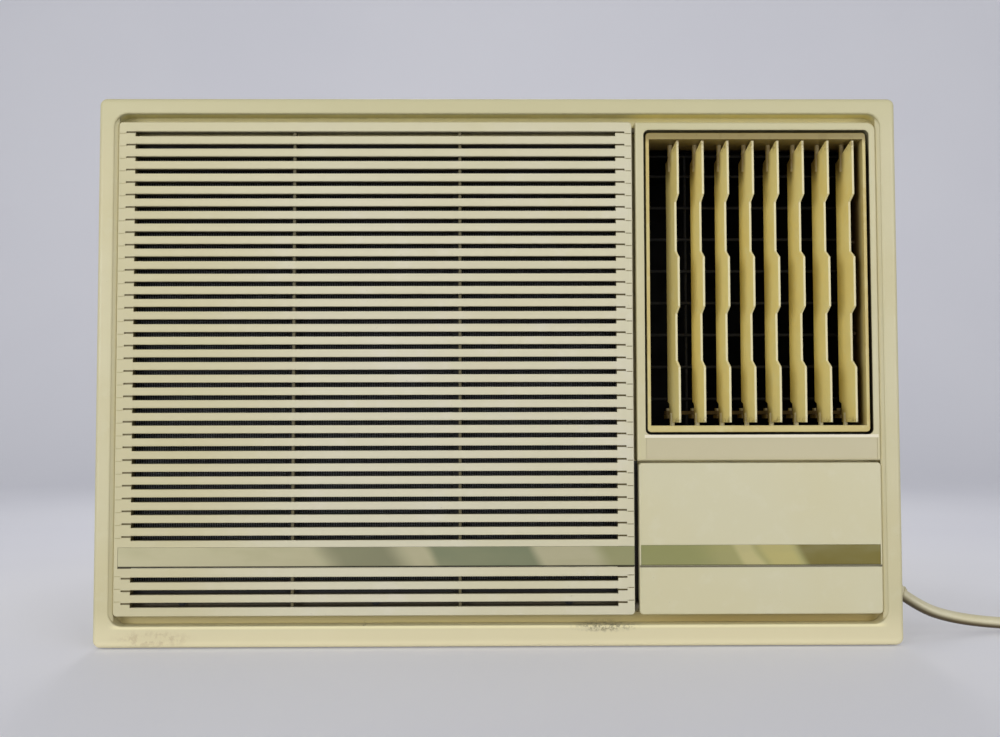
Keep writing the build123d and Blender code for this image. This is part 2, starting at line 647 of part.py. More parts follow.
def louvre_flaps(side):
    """Slots and inward-pressed flaps in one side of the case, in two columns."""
    slots, flaps = [], []
    length, height, pitch = 105.0, 7.0, 21.0
    face = side * CASE_X
    depth_y = (CASE_Y0 + REAR_Y) / 2
    rows = int((CASE_Z1 - CASE_Z0 - 120) / pitch)
    for column in (-1, 1):
        middle = depth_y + 60 + column * 62
        along = (middle - length / 2, middle + length / 2)
        for row in range(rows):
            top = CASE_Z1 - 62 - row * pitch
            slots.append(span_box(sorted((face - side * 3, face + side)), along, (top - height, top)))
            hang = Pos(face - side * SHEET * 0.62, middle, top + 0.8) * Rot(0, side * 38, 0)
            flaps.append(hang * Pos(0, 0, -4.9) * Box(SHEET * 0.9, length, 9.2))
    return slots, flaps


def make_outer_case():
    """Top and sides of the case in one bent sheet, with a lip at the rear and pressed louvres."""
    shell = span_box((-CASE_X, CASE_X), (CASE_Y0, REAR_Y), (CASE_FLOOR, CASE_Z1))
    shell = fillet(shell.edges().filter_by(Axis.Y).group_by(Axis.Z)[-1], CASE_BEND_R)
    clear_x = CASE_X - SHEET
    inside = span_box((-clear_x, clear_x), (CASE_Y0 - 1, REAR_Y - SHEET), (CASE_FLOOR - 1, CASE_Z1 - SHEET))
    inside = fillet(inside.edges().filter_by(Axis.Y).group_by(Axis.Z)[-1], CASE_BEND_R - SHEET)
    lip_x = CASE_X - CASE_LIP
    back = span_box((-lip_x, lip_x), (REAR_Y - 5, REAR_Y + 1), (CASE_FLOOR - 1, CASE_Z1 - CASE_LIP))
    shell = shell - inside - back
    for side in (-1, 1):
        slots, flaps = louvre_flaps(side)
        shell = shell - slots + flaps
    holes = [
        rod("X", (y, CASE_SCREW_Z), 2.1, (side * CASE_X - 3, side * CASE_X + 3))
        for y in CASE_SCREW_YS
        for side in (-1, 1)
    ]
    return shell - holes


CASE_SCREW_Z = CASE_FLOOR + 9.0
CASE_SCREW_YS = (CASE_Y0 + 60.0, (CASE_Y0 + REAR_Y) / 2, REAR_Y - 40.0)
FLANGE_X = CASE_X - SHEET - 0.2


def make_case_base():
    """Floor of the case with an upturned flange on each side and at the rear."""
    top = CASE_FLOOR + 18
    body = span_box((-CASE_X, CASE_X), (CASE_Y0, REAR_Y), (CASE_Z0, CASE_FLOOR))
    body += [
        span_box(
            sorted((side * FLANGE_X, side * (FLANGE_X - SHEET))),
            (CASE_Y0, REAR_Y - 4),
            (CASE_Z0, top),
        )
        for side in (-1, 1)
    ]
    lip_x = CASE_X - CASE_LIP - 0.5
    body += span_box((-lip_x, lip_x), (REAR_Y - SHEET, REAR_Y), (CASE_Z0, top - 6))
    body -= span_box((DRAIN_X - 12, DRAIN_X + 12), (REAR_Y - 3, REAR_Y + 1), (CASE_FLOOR, top))
    return body - [
        rod("X", (y, CASE_SCREW_Z), 2.1, (side * FLANGE_X - 3, side * FLANGE_X + 3))
        for y in CASE_SCREW_YS
        for side in (-1, 1)
    ]


GUARD_ROD_R = 1.6


def make_rear_guard():
    """Welded wire guard on the inside of the rear lip."""
    rail_y = REAR_Y - SHEET - GUARD_ROD_R - 0.1
    cross_y = rail_y - 2 * GUARD_ROD_R + 0.4
    reach = CASE_X - SHEET - 4
    low, high = CASE_FLOOR + 30, CASE_Z1 - SHEET - 4
    rows = int((high - low - 8) / 23.0)
    pitch = (high - low - 8) / rows
    heights = [low + 4 + pitch * row for row in range(rows + 1)]
    wires = [rod("X", (rail_y, z), GUARD_ROD_R, (-reach, reach)) for z in heights]
    uprights = (-reach + 5, -reach / 2.6, reach / 2.6, reach - 5)
    wires += [rod("Z", (x, cross_y), GUARD_ROD_R, (low, high)) for x in uprights]
    return joined(wires)


DRAIN_X = 150.0
DRAIN_R = 8.0
DRAIN_Z = PAN_TOP + 11.0


def make_case_screws():
    """Six pan-head screws that fix the sides of the case to its floor."""
    screws = []
    for y in CASE_SCREW_YS:
        for side in (-1, 1):
            head = sorted((side * CASE_X, side * (CASE_X + 2.2)))
            shank = sorted((side * (CASE_X + 0.5), side * (FLANGE_X - SHEET - 4)))
            screws.append(rod("X", (y, CASE_SCREW_Z), 4.0, head) + rod("X", (y, CASE_SCREW_Z), 2.0, shank))
    return apart(screws)


def make_case_rails():
    """Two hat-section rails that the case stands on and is bolted down by."""
    rails = []
    low, high = SKIRT_Y + 12, REAR_Y - 15
    for side in (-1, 1):
        middle = side * RAIL_X
        half = RAIL_W / 2
        hat = span_box((middle - half, middle + half), (low, high), (0, CASE_Z0))
        clear = half - RAIL_T
        hat -= span_box((middle - clear, middle + clear), (low - 1, high + 1), (-1, CASE_Z0 - RAIL_T))
        feet = [
            span_box((middle - half - RAIL_FLANGE, middle - half), (low, high), (0, RAIL_T)),
            span_box((middle + half, middle + half + RAIL_FLANGE), (low, high), (0, RAIL_T)),
        ]
        hole_x = side * (RAIL_X + half + RAIL_FLANGE / 2)
        hole_ys = (-RAIL_HOLE_SPACING / 2, RAIL_HOLE_SPACING / 2)
        holes = [rod("Z", (hole_x, y), RAIL_HOLE_R, (-1, RAIL_T + 1)) for y in hole_ys]
        rails.append(hat + feet - holes)
    return apart(rails)


def make_base_pan():
    """Pressed tray that carries the chassis and slides on the floor of the case."""
    body = span_box((-PAN_X, PAN_X), (PAN_Y0, PAN_Y1), (PAN_Z0, PAN_Z0 + PAN_WALL_H))
    clear_x = PAN_X - PAN_T
    clear_y = (PAN_Y0 + PAN_T, PAN_Y1 - PAN_T)
    body -= span_box((-clear_x, clear_x), clear_y, (PAN_TOP, PAN_Z0 + PAN_WALL_H + 1))
    body += span_box((GRILLE_X0 + 4, GRILLE_X1), (PAN_Y0, PAN_Y0 + PAN_T), (PAN_Z0, PANEL_SCREW_Z + 6))
    body -= [rod("Y", (x, PANEL_SCREW_Z), 2.1, (PAN_Y0 - 1, PAN_Y0 + PAN_T + 1)) for x in PANEL_SCREW_XS]
    body -= rod("Y", (DRAIN_X, DRAIN_Z), DRAIN_R - 2, (PAN_Y1 - 4, PAN_Y1 + 1))
    return body


def make_drain_spout():
    """Spout on the rear wall of the base pan for a drain hose."""
    body = rod("Y", (DRAIN_X, DRAIN_Z), DRAIN_R, (PAN_Y1, REAR_Y))
    body += rod("Y", (DRAIN_X, DRAIN_Z), DRAIN_R + 2.5, (PAN_Y1, PAN_Y1 + 2))
    return body - rod("Y", (DRAIN_X, DRAIN_Z), DRAIN_R - 2, (PAN_Y1 - 1, REAR_Y + 1))


VENT_PIVOT_Z = VENT_Z + VENT_REACH
VENT_PIVOT_Y = BULKHEAD_REAR_Y + 5.0
SUCTION_X = EVAPORATOR_X1 + 9.5
SUCTION_Z = EVAPORATOR_Z0 + 14.0
CAPILLARY_X = SUCTION_X + 2.0
CAPILLARY_Z = SUCTION_Z - 13.0


def make_bulkhead():
    """Sheet wall between the room side and the outdoor side, with lugs for the vent flap."""
    body = span_box((-PAN_X + 3, PAN_X - 3), (BULKHEAD_Y, BULKHEAD_REAR_Y), (PAN_TOP, CHASSIS_TOP))
    cut = (BULKHEAD_Y - 1, BULKHEAD_REAR_Y + 1)
    body -= rod("Y", (FAN_X, FAN_Z), 16.0, cut)
    body -= span_box((VENT_X - 16, VENT_X + 16), cut, (VENT_Z - 16, VENT_Z + 16))
    body -= rod("Y", (SUCTION_X, SUCTION_Z), 7.0, cut)
    body -= rod("Y", (CAPILLARY_X, CAPILLARY_Z), 3.0, cut)
    for x in (VENT_X - 25, VENT_X + 23):
        body += span_box((x, x + 2), (BULKHEAD_Y, VENT_PIVOT_Y + 4), (VENT_PIVOT_Z - 4, VENT_PIVOT_Z + 4))
    return body - rod("X", (VENT_PIVOT_Y, VENT_PIVOT_Z), 2.0 + RUN_GAP, (VENT_X - 30, VENT_X + 30))


def make_vent_flap():
    """Flap over the vent hole, hung on a cross pin."""
    flap_y = (BULKHEAD_REAR_Y + 0.3, BULKHEAD_REAR_Y + 1.8)
    body = span_box((VENT_X - 20, VENT_X + 20), flap_y, (VENT_Z - 20, VENT_PIVOT_Z))
    body += rod("X", (VENT_PIVOT_Y, VENT_PIVOT_Z), 4.0, (VENT_X - 20, VENT_X + 20))
    return body + rod("X", (VENT_PIVOT_Y, VENT_PIVOT_Z), 2.0, (VENT_X - 26, VENT_X + 26))


def make_vent_pull():
    """Push knob on a long rod that opens the vent flap."""
    knob_rear = PLATE_Y - VENT_TRAVEL - 2
    body = rod("Y", (VENT_X, VENT_Z), 8.0, (knob_rear - 12, knob_rear))
    body = fillet(body.edges().filter_by(GeomType.CIRCLE).sort_by(Axis.Y)[0], 2.5)
    return body + rod("Y", (VENT_X, VENT_Z), 3.0, (knob_rear - 1, BULKHEAD_REAR_Y))


def make_scroll():
    """Blower housing: a round chamber around the wheel that opens into the outlet duct."""
    centre = (FAN_X, FAN_Z)
    body = rod("Y", centre, CHAMBER_R + SCROLL_WALL, (SCROLL_Y0, SCROLL_Y1))
    body += span_box(
        (FAN_X, OUTLET_X1 + DUCT_WALL),
        (SCROLL_Y0, SCROLL_Y1),
        (OUTLET_Z0 - DUCT_WALL, OUTLET_Z1 + DUCT_WALL),
    )
    inner = (SCROLL_Y0 + SCROLL_WALL, SCROLL_Y1 - SCROLL_WALL)
    front_wall = (SCROLL_Y0 - 1, SCROLL_Y0 + SCROLL_WALL + 1)
    body -= [
        rod("Y", centre, CHAMBER_R, inner),
        span_box((FAN_X, OUTLET_X1), inner, (OUTLET_Z0, OUTLET_Z1)),
        span_box((OUTLET_X0, OUTLET_X1), front_wall, (OUTLET_Z0, OUTLET_Z1)),
        rod("Y", centre, WHEEL_R - 30, front_wall),
        rod("Y", centre, 16.0, (SCROLL_Y1 - SCROLL_WALL - 1, SCROLL_Y1 + 1)),
    ]
    return body


def make_blower_wheel():
    """Forward-curved wheel: back disc, hub, row of vanes and front ring."""
    centre = (FAN_X, FAN_Z)
    front, back = SCROLL_Y0 + SCROLL_WALL + 10, SCROLL_Y1 - SCROLL_WALL - 16
    pieces = [
        rod("Y", centre, WHEEL_R, (back - 1.5, back)),
        rod("Y", centre, 20.0, (back - 30, back)),
        ring("Y", centre, WHEEL_R, WHEEL_R - 17, (front, front + 3)),
    ]
    vane = Pos(WHEEL_R - 9, 0, 0) * Rot(0, 30, 0) * Box(15, back - front - 1, 1.4)
    place = Pos(FAN_X, (front + back) / 2, FAN_Z)
    pieces += [place * Rot(0, 10 * step, 0) * vane for step in range(36)]
    return joined(pieces) - rod("Y", centre, SHAFT_R + 0.02, (front, back + 1))


def make_motor_shaft():
    """Shaft through the motor with its rotor, from the blower wheel to the propeller."""
    centre = (FAN_X, FAN_Z)
    body = rod("Y", centre, SHAFT_R, (SCROLL_Y1 - SCROLL_WALL - 50, PROPELLER_Y0 + PROPELLER_D))
    return body + rod("Y", centre, MOTOR_R - 16, (MOTOR_Y0 + 22, MOTOR_Y1 - 22))


def make_motor_shell():
    """Hollow motor body with a bored boss at each end."""
    centre = (FAN_X, FAN_Z)
    body = rod("Y", centre, MOTOR_R, (MOTOR_Y0, MOTOR_Y1))
    body = fillet(body.edges().filter_by(GeomType.CIRCLE), 5.0)
    body += rod("Y", centre, 18.0, (MOTOR_Y0 - 10, MOTOR_Y1 + 10))
    body -= rod("Y", centre, MOTOR_R - 5, (MOTOR_Y0 + 8, MOTOR_Y1 - 8))
    return body - rod("Y", centre, 11.0, (MOTOR_Y0 - 11, MOTOR_Y1 + 11))


def make_motor_bearings():
    """Two plain bearings in the ends of the motor."""
    centre = (FAN_X, FAN_Z)
    ends = ((MOTOR_Y0 - 10, MOTOR_Y0 + 8), (MOTOR_Y1 - 8, MOTOR_Y1 + 10))
    return apart([ring("Y", centre, 11.0, SHAFT_R + RUN_GAP, span) for span in ends])


def make_motor_bracket():
    """Pedestal on the base pan with two cradles for the motor."""
    foot = span_box((FAN_X - 80, FAN_X + 80), (MOTOR_Y0 + 12, MOTOR_Y1 - 12), (PAN_TOP, PAN_TOP + 2.5))
    uprights = [
        span_box((FAN_X - 70, FAN_X + 70), (y, y + 3), (PAN_TOP, FAN_Z - 25))
        for y in (MOTOR_Y0 + 18, MOTOR_Y1 - 21)
    ]
    tie = span_box((FAN_X - 70, FAN_X + 70), (MOTOR_Y0 + 18, MOTOR_Y1 - 18), (FAN_Z - 120, FAN_Z - 117))
    return joined([foot, tie] + uprights) - rod("Y", (FAN_X, FAN_Z), MOTOR_R + 0.2, (MOTOR_Y0, MOTOR_Y1))


def make_propeller():
    """Condenser fan: hub, five pitched blades and the ring that slings water on the coil."""
    centre = (FAN_X, FAN_Z)
    span = (PROPELLER_Y0, PROPELLER_Y0 + PROPELLER_D)
    pieces = [rod("Y", centre, 30.0, span)]
    reach = PROPELLER_R - 24
    blade = Pos(22 + reach / 2, 0, 0) * Rot(27, 0, 0) * Box(reach, 2.6, 84)
    place = Pos(FAN_X, (span[0] + span[1]) / 2, FAN_Z)
    pieces += [place * Rot(0, 72 * step, 0) * blade for step in range(5)]
    body = joined(pieces) & rod("Y", centre, PROPELLER_R - 2, (span[0] - 1, span[1] + 1))
    body += ring("Y", centre, PROPELLER_R, PROPELLER_R - 5, (span[0] + 16, span[0] + 26))
    return body - rod("Y", centre, SHAFT_R + 0.02, (span[0] - 1, span[1] + 1))


SHROUD_X1 = CONDENSER_X1 + 22.0


def make_fan_shroud():
    """Wall with a round mouth for the propeller, and sides that lead the air to the condenser."""
    centre = (FAN_X, FAN_Z)
    x_low = CONDENSER_X0 - 16
    body = span_box((x_low, SHROUD_X1), (SHROUD_Y, CONDENSER_Y0 - 4), (PAN_TOP, CHASSIS_TOP))
    body -= span_box(
        (x_low + SHEET, SHROUD_X1 - SHEET),
        (SHROUD_Y + SHEET, CONDENSER_Y0),
        (PAN_TOP - 1, CHASSIS_TOP - SHEET),
    )
    body += rod("Y", centre, PROPELLER_R + 8, (SHROUD_Y - 20, SHROUD_Y + SHEET))
    return body - rod("Y", centre, PROPELLER_R + 6, (SHROUD_Y - 21, SHROUD_Y + SHEET + 1))


def fin_pack(x, y, z):
    """Block of fins: upright grooves all along its front and its rear."""
    count = round((x[1] - x[0] - FIN_T) / FIN_STEP)
    step = (x[1] - x[0] - FIN_T) / count
    front, rear = [], []
    for place in range(count + 1):
        left = x[0] + step * place
        right = left + FIN_T
        front += [(left, y[0]), (right, y[0])]
        rear += [(left, y[1]), (right, y[1])]
        if place < count:
            front += [(right, y[0] + FIN_GROOVE), (left + step, y[0] + FIN_GROOVE)]
            rear += [(right, y[1] - FIN_GROOVE), (left + step, y[1] - FIN_GROOVE)]
    outline = make_face(Polyline(*front, *reversed(rear), close=True))
    return Pos(0, 0, z[0]) * extrude(outline, amount=z[1] - z[0], dir=(0, 0, 1))


def make_evaporator_fins():
    """Fin pack of the evaporator behind the grille."""
    return fin_pack(
        (EVAPORATOR_X0, EVAPORATOR_X1), (EVAPORATOR_Y0, EVAPORATOR_Y1), (EVAPORATOR_Z0, EVAPORATOR_Z1)
    )


def make_condenser_fins():
    """Fin pack of the condenser at the rear."""
    return fin_pack(
        (CONDENSER_X0, CONDENSER_X1), (CONDENSER_Y0, CONDENSER_Y1), (CONDENSER_Z0, CONDENSER_Z1)
    )


def make_coil_plates():
    """End plates of both coils, standing on the base pan."""
    plates = []
    depth = (EVAPORATOR_Y0, EVAPORATOR_Y1)
    for x in (EVAPORATOR_X0 - COIL_PLATE, EVAPORATOR_X1):
        plates.append(span_box((x, x + COIL_PLATE), depth, (PAN_TOP, EVAPORATOR_Z1 + 4)))
    depth = (CONDENSER_Y0 - 2, CONDENSER_Y1 + 2)
    for x in (CONDENSER_X0 - COIL_PLATE, CONDENSER_X1):
        plates.append(span_box((x, x + COIL_PLATE), depth, (PAN_TOP, CONDENSER_Z1 + 4)))
    return apart(plates)


def return_bends(x, side, y, first, count):
    """Row of half-round tube bends on the outside of an end plate."""
    bends = []
    for row in range(count):
        z = first + 2 * TUBE_STEP * row + BEND_R
        torus = Pos(x, y, z) * Rot(90, 0, 0) * Torus(BEND_R, BEND_TUBE_R)
        keep = span_box(sorted((x, x + side * 40)), (y - 20, y + 20), (z - 40, z + 40))
        bends.append(torus & keep)
    return bends


def make_coil_bends():
    """Return bends of both coils: they join the tubes in pairs, one tube on at the right."""
    y_in = EVAPORATOR_Y0 + EVAPORATOR_D / 2 - 8
    y_out = CONDENSER_Y0 + CONDENSER_D / 2
    pairs = TUBE_COUNT // 2
    bends = return_bends(EVAPORATOR_X0 - COIL_PLATE, -1, y_in, EVAPORATOR_TUBE_Z, pairs)
    bends += return_bends(EVAPORATOR_X1 + COIL_PLATE, 1, y_in, EVAPORATOR_TUBE_Z + TUBE_STEP, pairs - 1)
    bends += return_bends(CONDENSER_X0 - COIL_PLATE, -1, y_out, CONDENSER_TUBE_Z, pairs)
    bends += return_bends(CONDENSER_X1 + COIL_PLATE, 1, y_out, CONDENSER_TUBE_Z + TUBE_STEP, pairs - 1)
    return apart(bends)


FOOT_Z = PAN_TOP + GROMMET_H
SHELL_Z0 = FOOT_Z + 4.0
SHELL_Z1 = SHELL_Z0 + COMPRESSOR_H


def compressor_feet():
    """Where the three feet of the compressor stand."""
    feet = []
    for angle in (90, 210, 330):
        turn = math.radians(angle)
        feet.append((COMPRESSOR_X + FOOT_R * math.cos(turn), COMPRESSOR_Y + FOOT_R * math.sin(turn)))
    return feet


def make_compressor():
    """Hermetic compressor: a domed can on a three-footed base plate."""
    centre = (COMPRESSOR_X, COMPRESSOR_Y)
    can = rod("Z", centre, COMPRESSOR_R, (SHELL_Z0, SHELL_Z1))
    can = fillet(can.edges().filter_by(GeomType.CIRCLE), 34.0)
    hollow = rod("Z", centre, COMPRESSOR_R - 22, (SHELL_Z0 + 40, SHELL_Z1 - 40))
    plate = rod("Z", centre, COMPRESSOR_R - 20, (FOOT_Z, SHELL_Z0 + 6))
    feet = [rod("Z", foot, 13.0, (FOOT_Z, FOOT_Z + 3.5)) for foot in compressor_feet()]
    arms = []
    for angle in (90, 210, 330):
        arm = Pos(*centre, FOOT_Z + 1.75) * Rot(0, 0, angle) * Pos(FOOT_R / 2, 0, 0) * Box(FOOT_R, 24, 3.5)
        arms.append(arm)
    body = joined([can, plate] + feet + arms) - hollow
    body += rod("Z", (COMPRESSOR_X + 22, COMPRESSOR_Y - 10), 16.0, (SHELL_Z1 - 20, SHELL_Z1 + 12))
    return body - [rod("Z", foot, STUD_R + 0.5, (FOOT_Z - 1, FOOT_Z + 5)) for foot in compressor_feet()]


def make_compressor_grommets():
    """Rubber grommets under the three feet."""
    return apart([ring("Z", foot, 12.0, STUD_R + 0.3, (PAN_TOP, FOOT_Z)) for foot in compressor_feet()])


def make_compressor_studs():
    """Studs and nuts that hold the three feet down."""
    studs = []
    for foot in compressor_feet():
        shank = rod("Z", foot, STUD_R, (PAN_TOP, FOOT_Z + 14))
        nut = Pos(*foot, FOOT_Z + 6.5) * extrude(RegularPolygon(7.5, 6), amount=3, both=True)
        studs.append(shank + nut)
    return apart(studs)


PIPE_X = PAN_X - 9.0
COIL_MID_Y = CONDENSER_Y0 + CONDENSER_D / 2
PLATE_OUT_X = CONDENSER_X1 + COIL_PLATE


def make_discharge_pipe():
    """Hot gas pipe from the top of the compressor to the top of the condenser."""
    high = CONDENSER_TUBE_Z + TUBE_STEP * (TUBE_COUNT - 1)
    start = (COMPRESSOR_X - 20, COMPRESSOR_Y)
    points = [
        (*start, SHELL_Z1),
        (*start, high),
        (PIPE_X, COMPRESSOR_Y, high),
        (PIPE_X, COIL_MID_Y, high),
        (PLATE_OUT_X, COIL_MID_Y, high),
    ]
    return pipe(points, 4.0, 22.0)


ACCUMULATOR_X = COMPRESSOR_X - COMPRESSOR_R - 25.0
ACCUMULATOR_Y = COMPRESSOR_Y - 22.0


def make_suction_line():
    """Cold gas pipe from the evaporator, with the accumulator beside the compressor."""
    mid_y = EVAPORATOR_Y0 + EVAPORATOR_D / 2
    turn_y = BULKHEAD_REAR_Y + 42
    tank = rod("Z", (ACCUMULATOR_X, ACCUMULATOR_Y), 21.0, (SHELL_Z0 + 40, SHELL_Z0 + 180))
    tank = fillet(tank.edges().filter_by(GeomType.CIRCLE), 14.0)
    over = SHELL_Z0 + 222
    points = [
        (EVAPORATOR_X1 + COIL_PLATE, mid_y, SUCTION_Z),
        (SUCTION_X, mid_y, SUCTION_Z),
        (SUCTION_X, turn_y, SUCTION_Z),
        (SUCTION_X, turn_y, over),
        (ACCUMULATOR_X, ACCUMULATOR_Y, over),
        (ACCUMULATOR_X, ACCUMULATOR_Y, SHELL_Z0 + 170),
    ]
    radii = [5.5] + bend_radii(points, 20.0)[1:]
    path = FilletPolyline(*points, radius=radii)
    line = sweep(Plane(origin=path @ 0, z_dir=path % 0) * Circle(5.0), path=path)
    side = COMPRESSOR_Y - ACCUMULATOR_Y - 4.0
    can_x = COMPRESSOR_X - math.sqrt(COMPRESSOR_R**2 - side**2) - 0.2
    neck = rod("X", (ACCUMULATOR_Y, SHELL_Z0 + 70), 4.0, (ACCUMULATOR_X, can_x))
    return line + tank + neck


DRIER_Z = CONDENSER_TUBE_Z


def make_liquid_line():
    """Liquid pipe from the foot of the condenser into the drier."""
    drier_y = COMPRESSOR_Y + 84
    points = [
        (PLATE_OUT_X, COIL_MID_Y, DRIER_Z),
        (PIPE_X, COIL_MID_Y, DRIER_Z),
        (PIPE_X, drier_y + 40, DRIER_Z),
    ]
    drier = rod("Y", (PIPE_X, DRIER_Z), 8.0, (drier_y - 40, drier_y + 44))
    drier = fillet(drier.edges().filter_by(GeomType.CIRCLE), 4.0)
    return pipe(points, 4.0, 16.0) + drier


def make_capillary():
    """Thin tube from the drier to the evaporator."""
    across_y = BULKHEAD_REAR_Y + 56
    mid_y = EVAPORATOR_Y0 + EVAPORATOR_D / 2 + 8
    points = [
        (PIPE_X, COMPRESSOR_Y + 44, DRIER_Z),
        (PIPE_X, across_y, DRIER_Z),
        (CAPILLARY_X, across_y, CAPILLARY_Z),
        (CAPILLARY_X, mid_y, CAPILLARY_Z),
        (EVAPORATOR_X1 + COIL_PLATE, mid_y, CAPILLARY_Z),
    ]
    return pipe(points, 1.4, 16.0)


BOX_X0 = CONTROL_X0 + 2.0
BOX_X1 = CONTROL_X1 + 1.5
BOX_Y1 = PLATE_Y + 98.0
BOX_Z1 = CONTROL_Z1 + 4.0


def make_control_box():
    """Sheet box behind the control plate."""
    low = PLATE_Y + PLATE_T + SLIDE_GAP
    body = span_box((BOX_X0, BOX_X1), (low, BOX_Y1), (PAN_TOP, BOX_Z1))
    body -= span_box(
        (BOX_X0 + SHEET, BOX_X1 - SHEET),
        (low - 1, BOX_Y1 - SHEET),
        (PAN_TOP + SHEET, BOX_Z1 - SHEET),
    )
    return body - rod("Y", (VENT_X, VENT_Z), 5.0, (BOX_Y1 - 5, BOX_Y1 + 5))


def make_control_plate():
    """Plate at the back of the control bay, bored for the two knobs and the vent rod."""
    body = span_box(
        (CONTROL_X0 - DUCT_WALL, CONTROL_X1 + DUCT_WALL),
        (PLATE_Y, PLATE_Y + PLATE_T),
        (CONTROL_Z0 - DUCT_WALL, CONTROL_Z1 + DUCT_WALL),
    )
    cut = (PLATE_Y - 1, PLATE_Y + PLATE_T + 1)
    body -= [rod("Y", (x, KNOB_Z), KNOB_SHAFT_R + 0.4, cut) for x in (KNOB_X1, KNOB_X2)]
    return body - rod("Y", (VENT_X, VENT_Z), 3.0 + 0.08, cut)


def make_control_switches():
    """Thermostat and selector switch on the back of the control plate."""
    rear = PLATE_Y + PLATE_T
    bodies = []
    for x in (KNOB_X1, KNOB_X2):
        body = span_box((x - 24, x + 24), (rear, rear + 32), (KNOB_Z - 19, KNOB_Z + 19))
        bodies.append(body - rod("Y", (x, KNOB_Z), KNOB_SHAFT_R + RUN_GAP, (rear - 1, rear + 22)))
    return apart(bodies)


def make_run_capacitor():
    """Oval run capacitor standing in the control box."""
    centre = (KNOB_X1, PLATE_Y + 66)
    body = rod("Z", centre, 22.0, (PAN_TOP + SHEET, PAN_TOP + SHEET + 88))
    return body + rod("Z", centre, 8.0, (PAN_TOP + SHEET + 87, PAN_TOP + SHEET + 94))


def make_knob(x, turn):
    """Round knob with a grip bar, on its shaft."""
    back = PLATE_Y - 0.6
    centre = (x, KNOB_Z)
    skirt = rod("Y", centre, KNOB_R, (back - 5, back))
    skirt = fillet(skirt.edges().filter_by(GeomType.CIRCLE).sort_by(Axis.Y)[0], 1.5)
    core = rod("Y", centre, KNOB_R - 4, (back - 9, back - 4))
    bar = Pos(x, back - 4 - (KNOB_H - 4) / 2, KNOB_Z) * Rot(0, turn, 0) * Box(9, KNOB_H - 4, 2 * KNOB_R - 5)
    bar = fillet(bar.edges().filter_by(Axis.Y), 3.0)
    shaft = rod("Y", centre, KNOB_SHAFT_R, (back - 2, PLATE_Y + PLATE_T + 20))
    return joined([skirt, core, bar, shaft])


GLAND_X = PANEL_W / 2
GLAND_DIR = (math.cos(math.radians(GLAND_TILT)), 0.0, -math.sin(math.radians(GLAND_TILT)))
CORD_START = (GLAND_X + GLAND_L * GLAND_DIR[0], GLAND_Y, GLAND_Z + GLAND_L * GLAND_DIR[2])


def make_cord_gland():
    """Tapered strain relief through the side of the skirt, bent down towards the ground."""
    plug = rod("X", (GLAND_Y, GLAND_Z), 7.0, (GLAND_X - MOULD_WALL - 2, GLAND_X + 1))
    plug += rod("X", (GLAND_Y, GLAND_Z), 9.5, (GLAND_X - MOULD_WALL - 3.5, GLAND_X - MOULD_WALL))
    plug += rod("X", (GLAND_Y, GLAND_Z), 10.0, (GLAND_X, GLAND_X + 3))
    axis = Plane(origin=(GLAND_X, GLAND_Y, GLAND_Z), z_dir=GLAND_DIR)
    taper = axis * Pos(0, 0, GLAND_L / 2) * Cone(8.5, 6.0, GLAND_L)
    taper &= span_box((GLAND_X, GLAND_X + 60), (GLAND_Y - 30, GLAND_Y + 30), (GLAND_Z - 60, GLAND_Z + 30))
    return plug + taper


COIL_FRONT_Y = COIL_Y - COIL_START_R
CORD_FIRST_RUN = 20.5
CORD_POINTS = [
    CORD_START,
    (CORD_START[0] + CORD_FIRST_RUN * GLAND_DIR[0], GLAND_Y, CORD_START[2] + CORD_FIRST_RUN * GLAND_DIR[2]),
    (GLAND_X + 62.0, GLAND_Y + 4.0, 13.2),
    (GLAND_X + 92.0, GLAND_Y + 8.0, 8.2),
    (GLAND_X + 126.0, GLAND_Y + 7.0, COIL_Z + 0.2),
    (GLAND_X + 163.0, GLAND_Y - 2.0, COIL_Z),
    (COIL_X - 36.0, COIL_FRONT_Y, COIL_Z),
    (COIL_X, COIL_FRONT_Y, COIL_Z),
]


def make_power_cord():
    """Round cord from the strain relief down to the ground and on to its coil."""
    radii = bend_radii(CORD_POINTS, 400.0)
    print("cord bend radii", [round(radius, 1) for radius in radii])
    path = FilletPolyline(*CORD_POINTS, radius=radii)
    body = sweep(Plane(origin=path @ 0, z_dir=path % 0) * Circle(CORD_R), path=path)
    expected = math.pi * CORD_R**2 * path.length
    print("cord volume", round(body.volume), "section times length", round(expected))
    print("cord length", round(path.length))
    return body


def spiral_layer(start_y, radii, heading, z):
    """Half turns of one flat layer, each tangent to the next, and where they end."""
    edges = []
    y = start_y
    for radius in radii:
        end_y = y + heading * 2 * radius
        middle_y = (y + end_y) / 2
        points = ((COIL_X, y, z), (COIL_X + heading * radius, middle_y, z), (COIL_X, end_y, z))
        edges.append(ThreePointArc(*points))
        y = end_y
        heading = -heading
    return edges, y, heading


def coil_path():
    """Loops of the put-away cord: in along the ground, up a layer, out again, and a straight end."""
    inward = [COIL_START_R - COIL_STEP * step for step in range(4)]
    lower, y, heading = spiral_layer(COIL_FRONT_Y, inward, 1, COIL_Z)
    upper_z = COIL_Z + COIL_RISE
    start = Vector(COIL_X, y, COIL_Z)
    climb_r = COIL_START_R - COIL_STEP * 4
    finish = Vector(COIL_X, y + heading * 2 * climb_r, upper_z)
    reach = (finish - start).length / 2
    middle = (start + finish) / 2 + Vector(heading * reach, 0, 0)
    first = TangentArc(start, middle, tangent=(heading, 0, 0))
    second = TangentArc(middle, finish, tangent=first % 1)
    outward = [COIL_START_R - COIL_STEP * step for step in (3, 2, 1)]
    upper, y, heading = spiral_layer(finish.Y, outward, -heading, upper_z)
    tail = Line((COIL_X, y, upper_z), (COIL_X + COIL_TAIL, y, upper_z))
    return Wire(lower + [first, second] + upper + [tail])


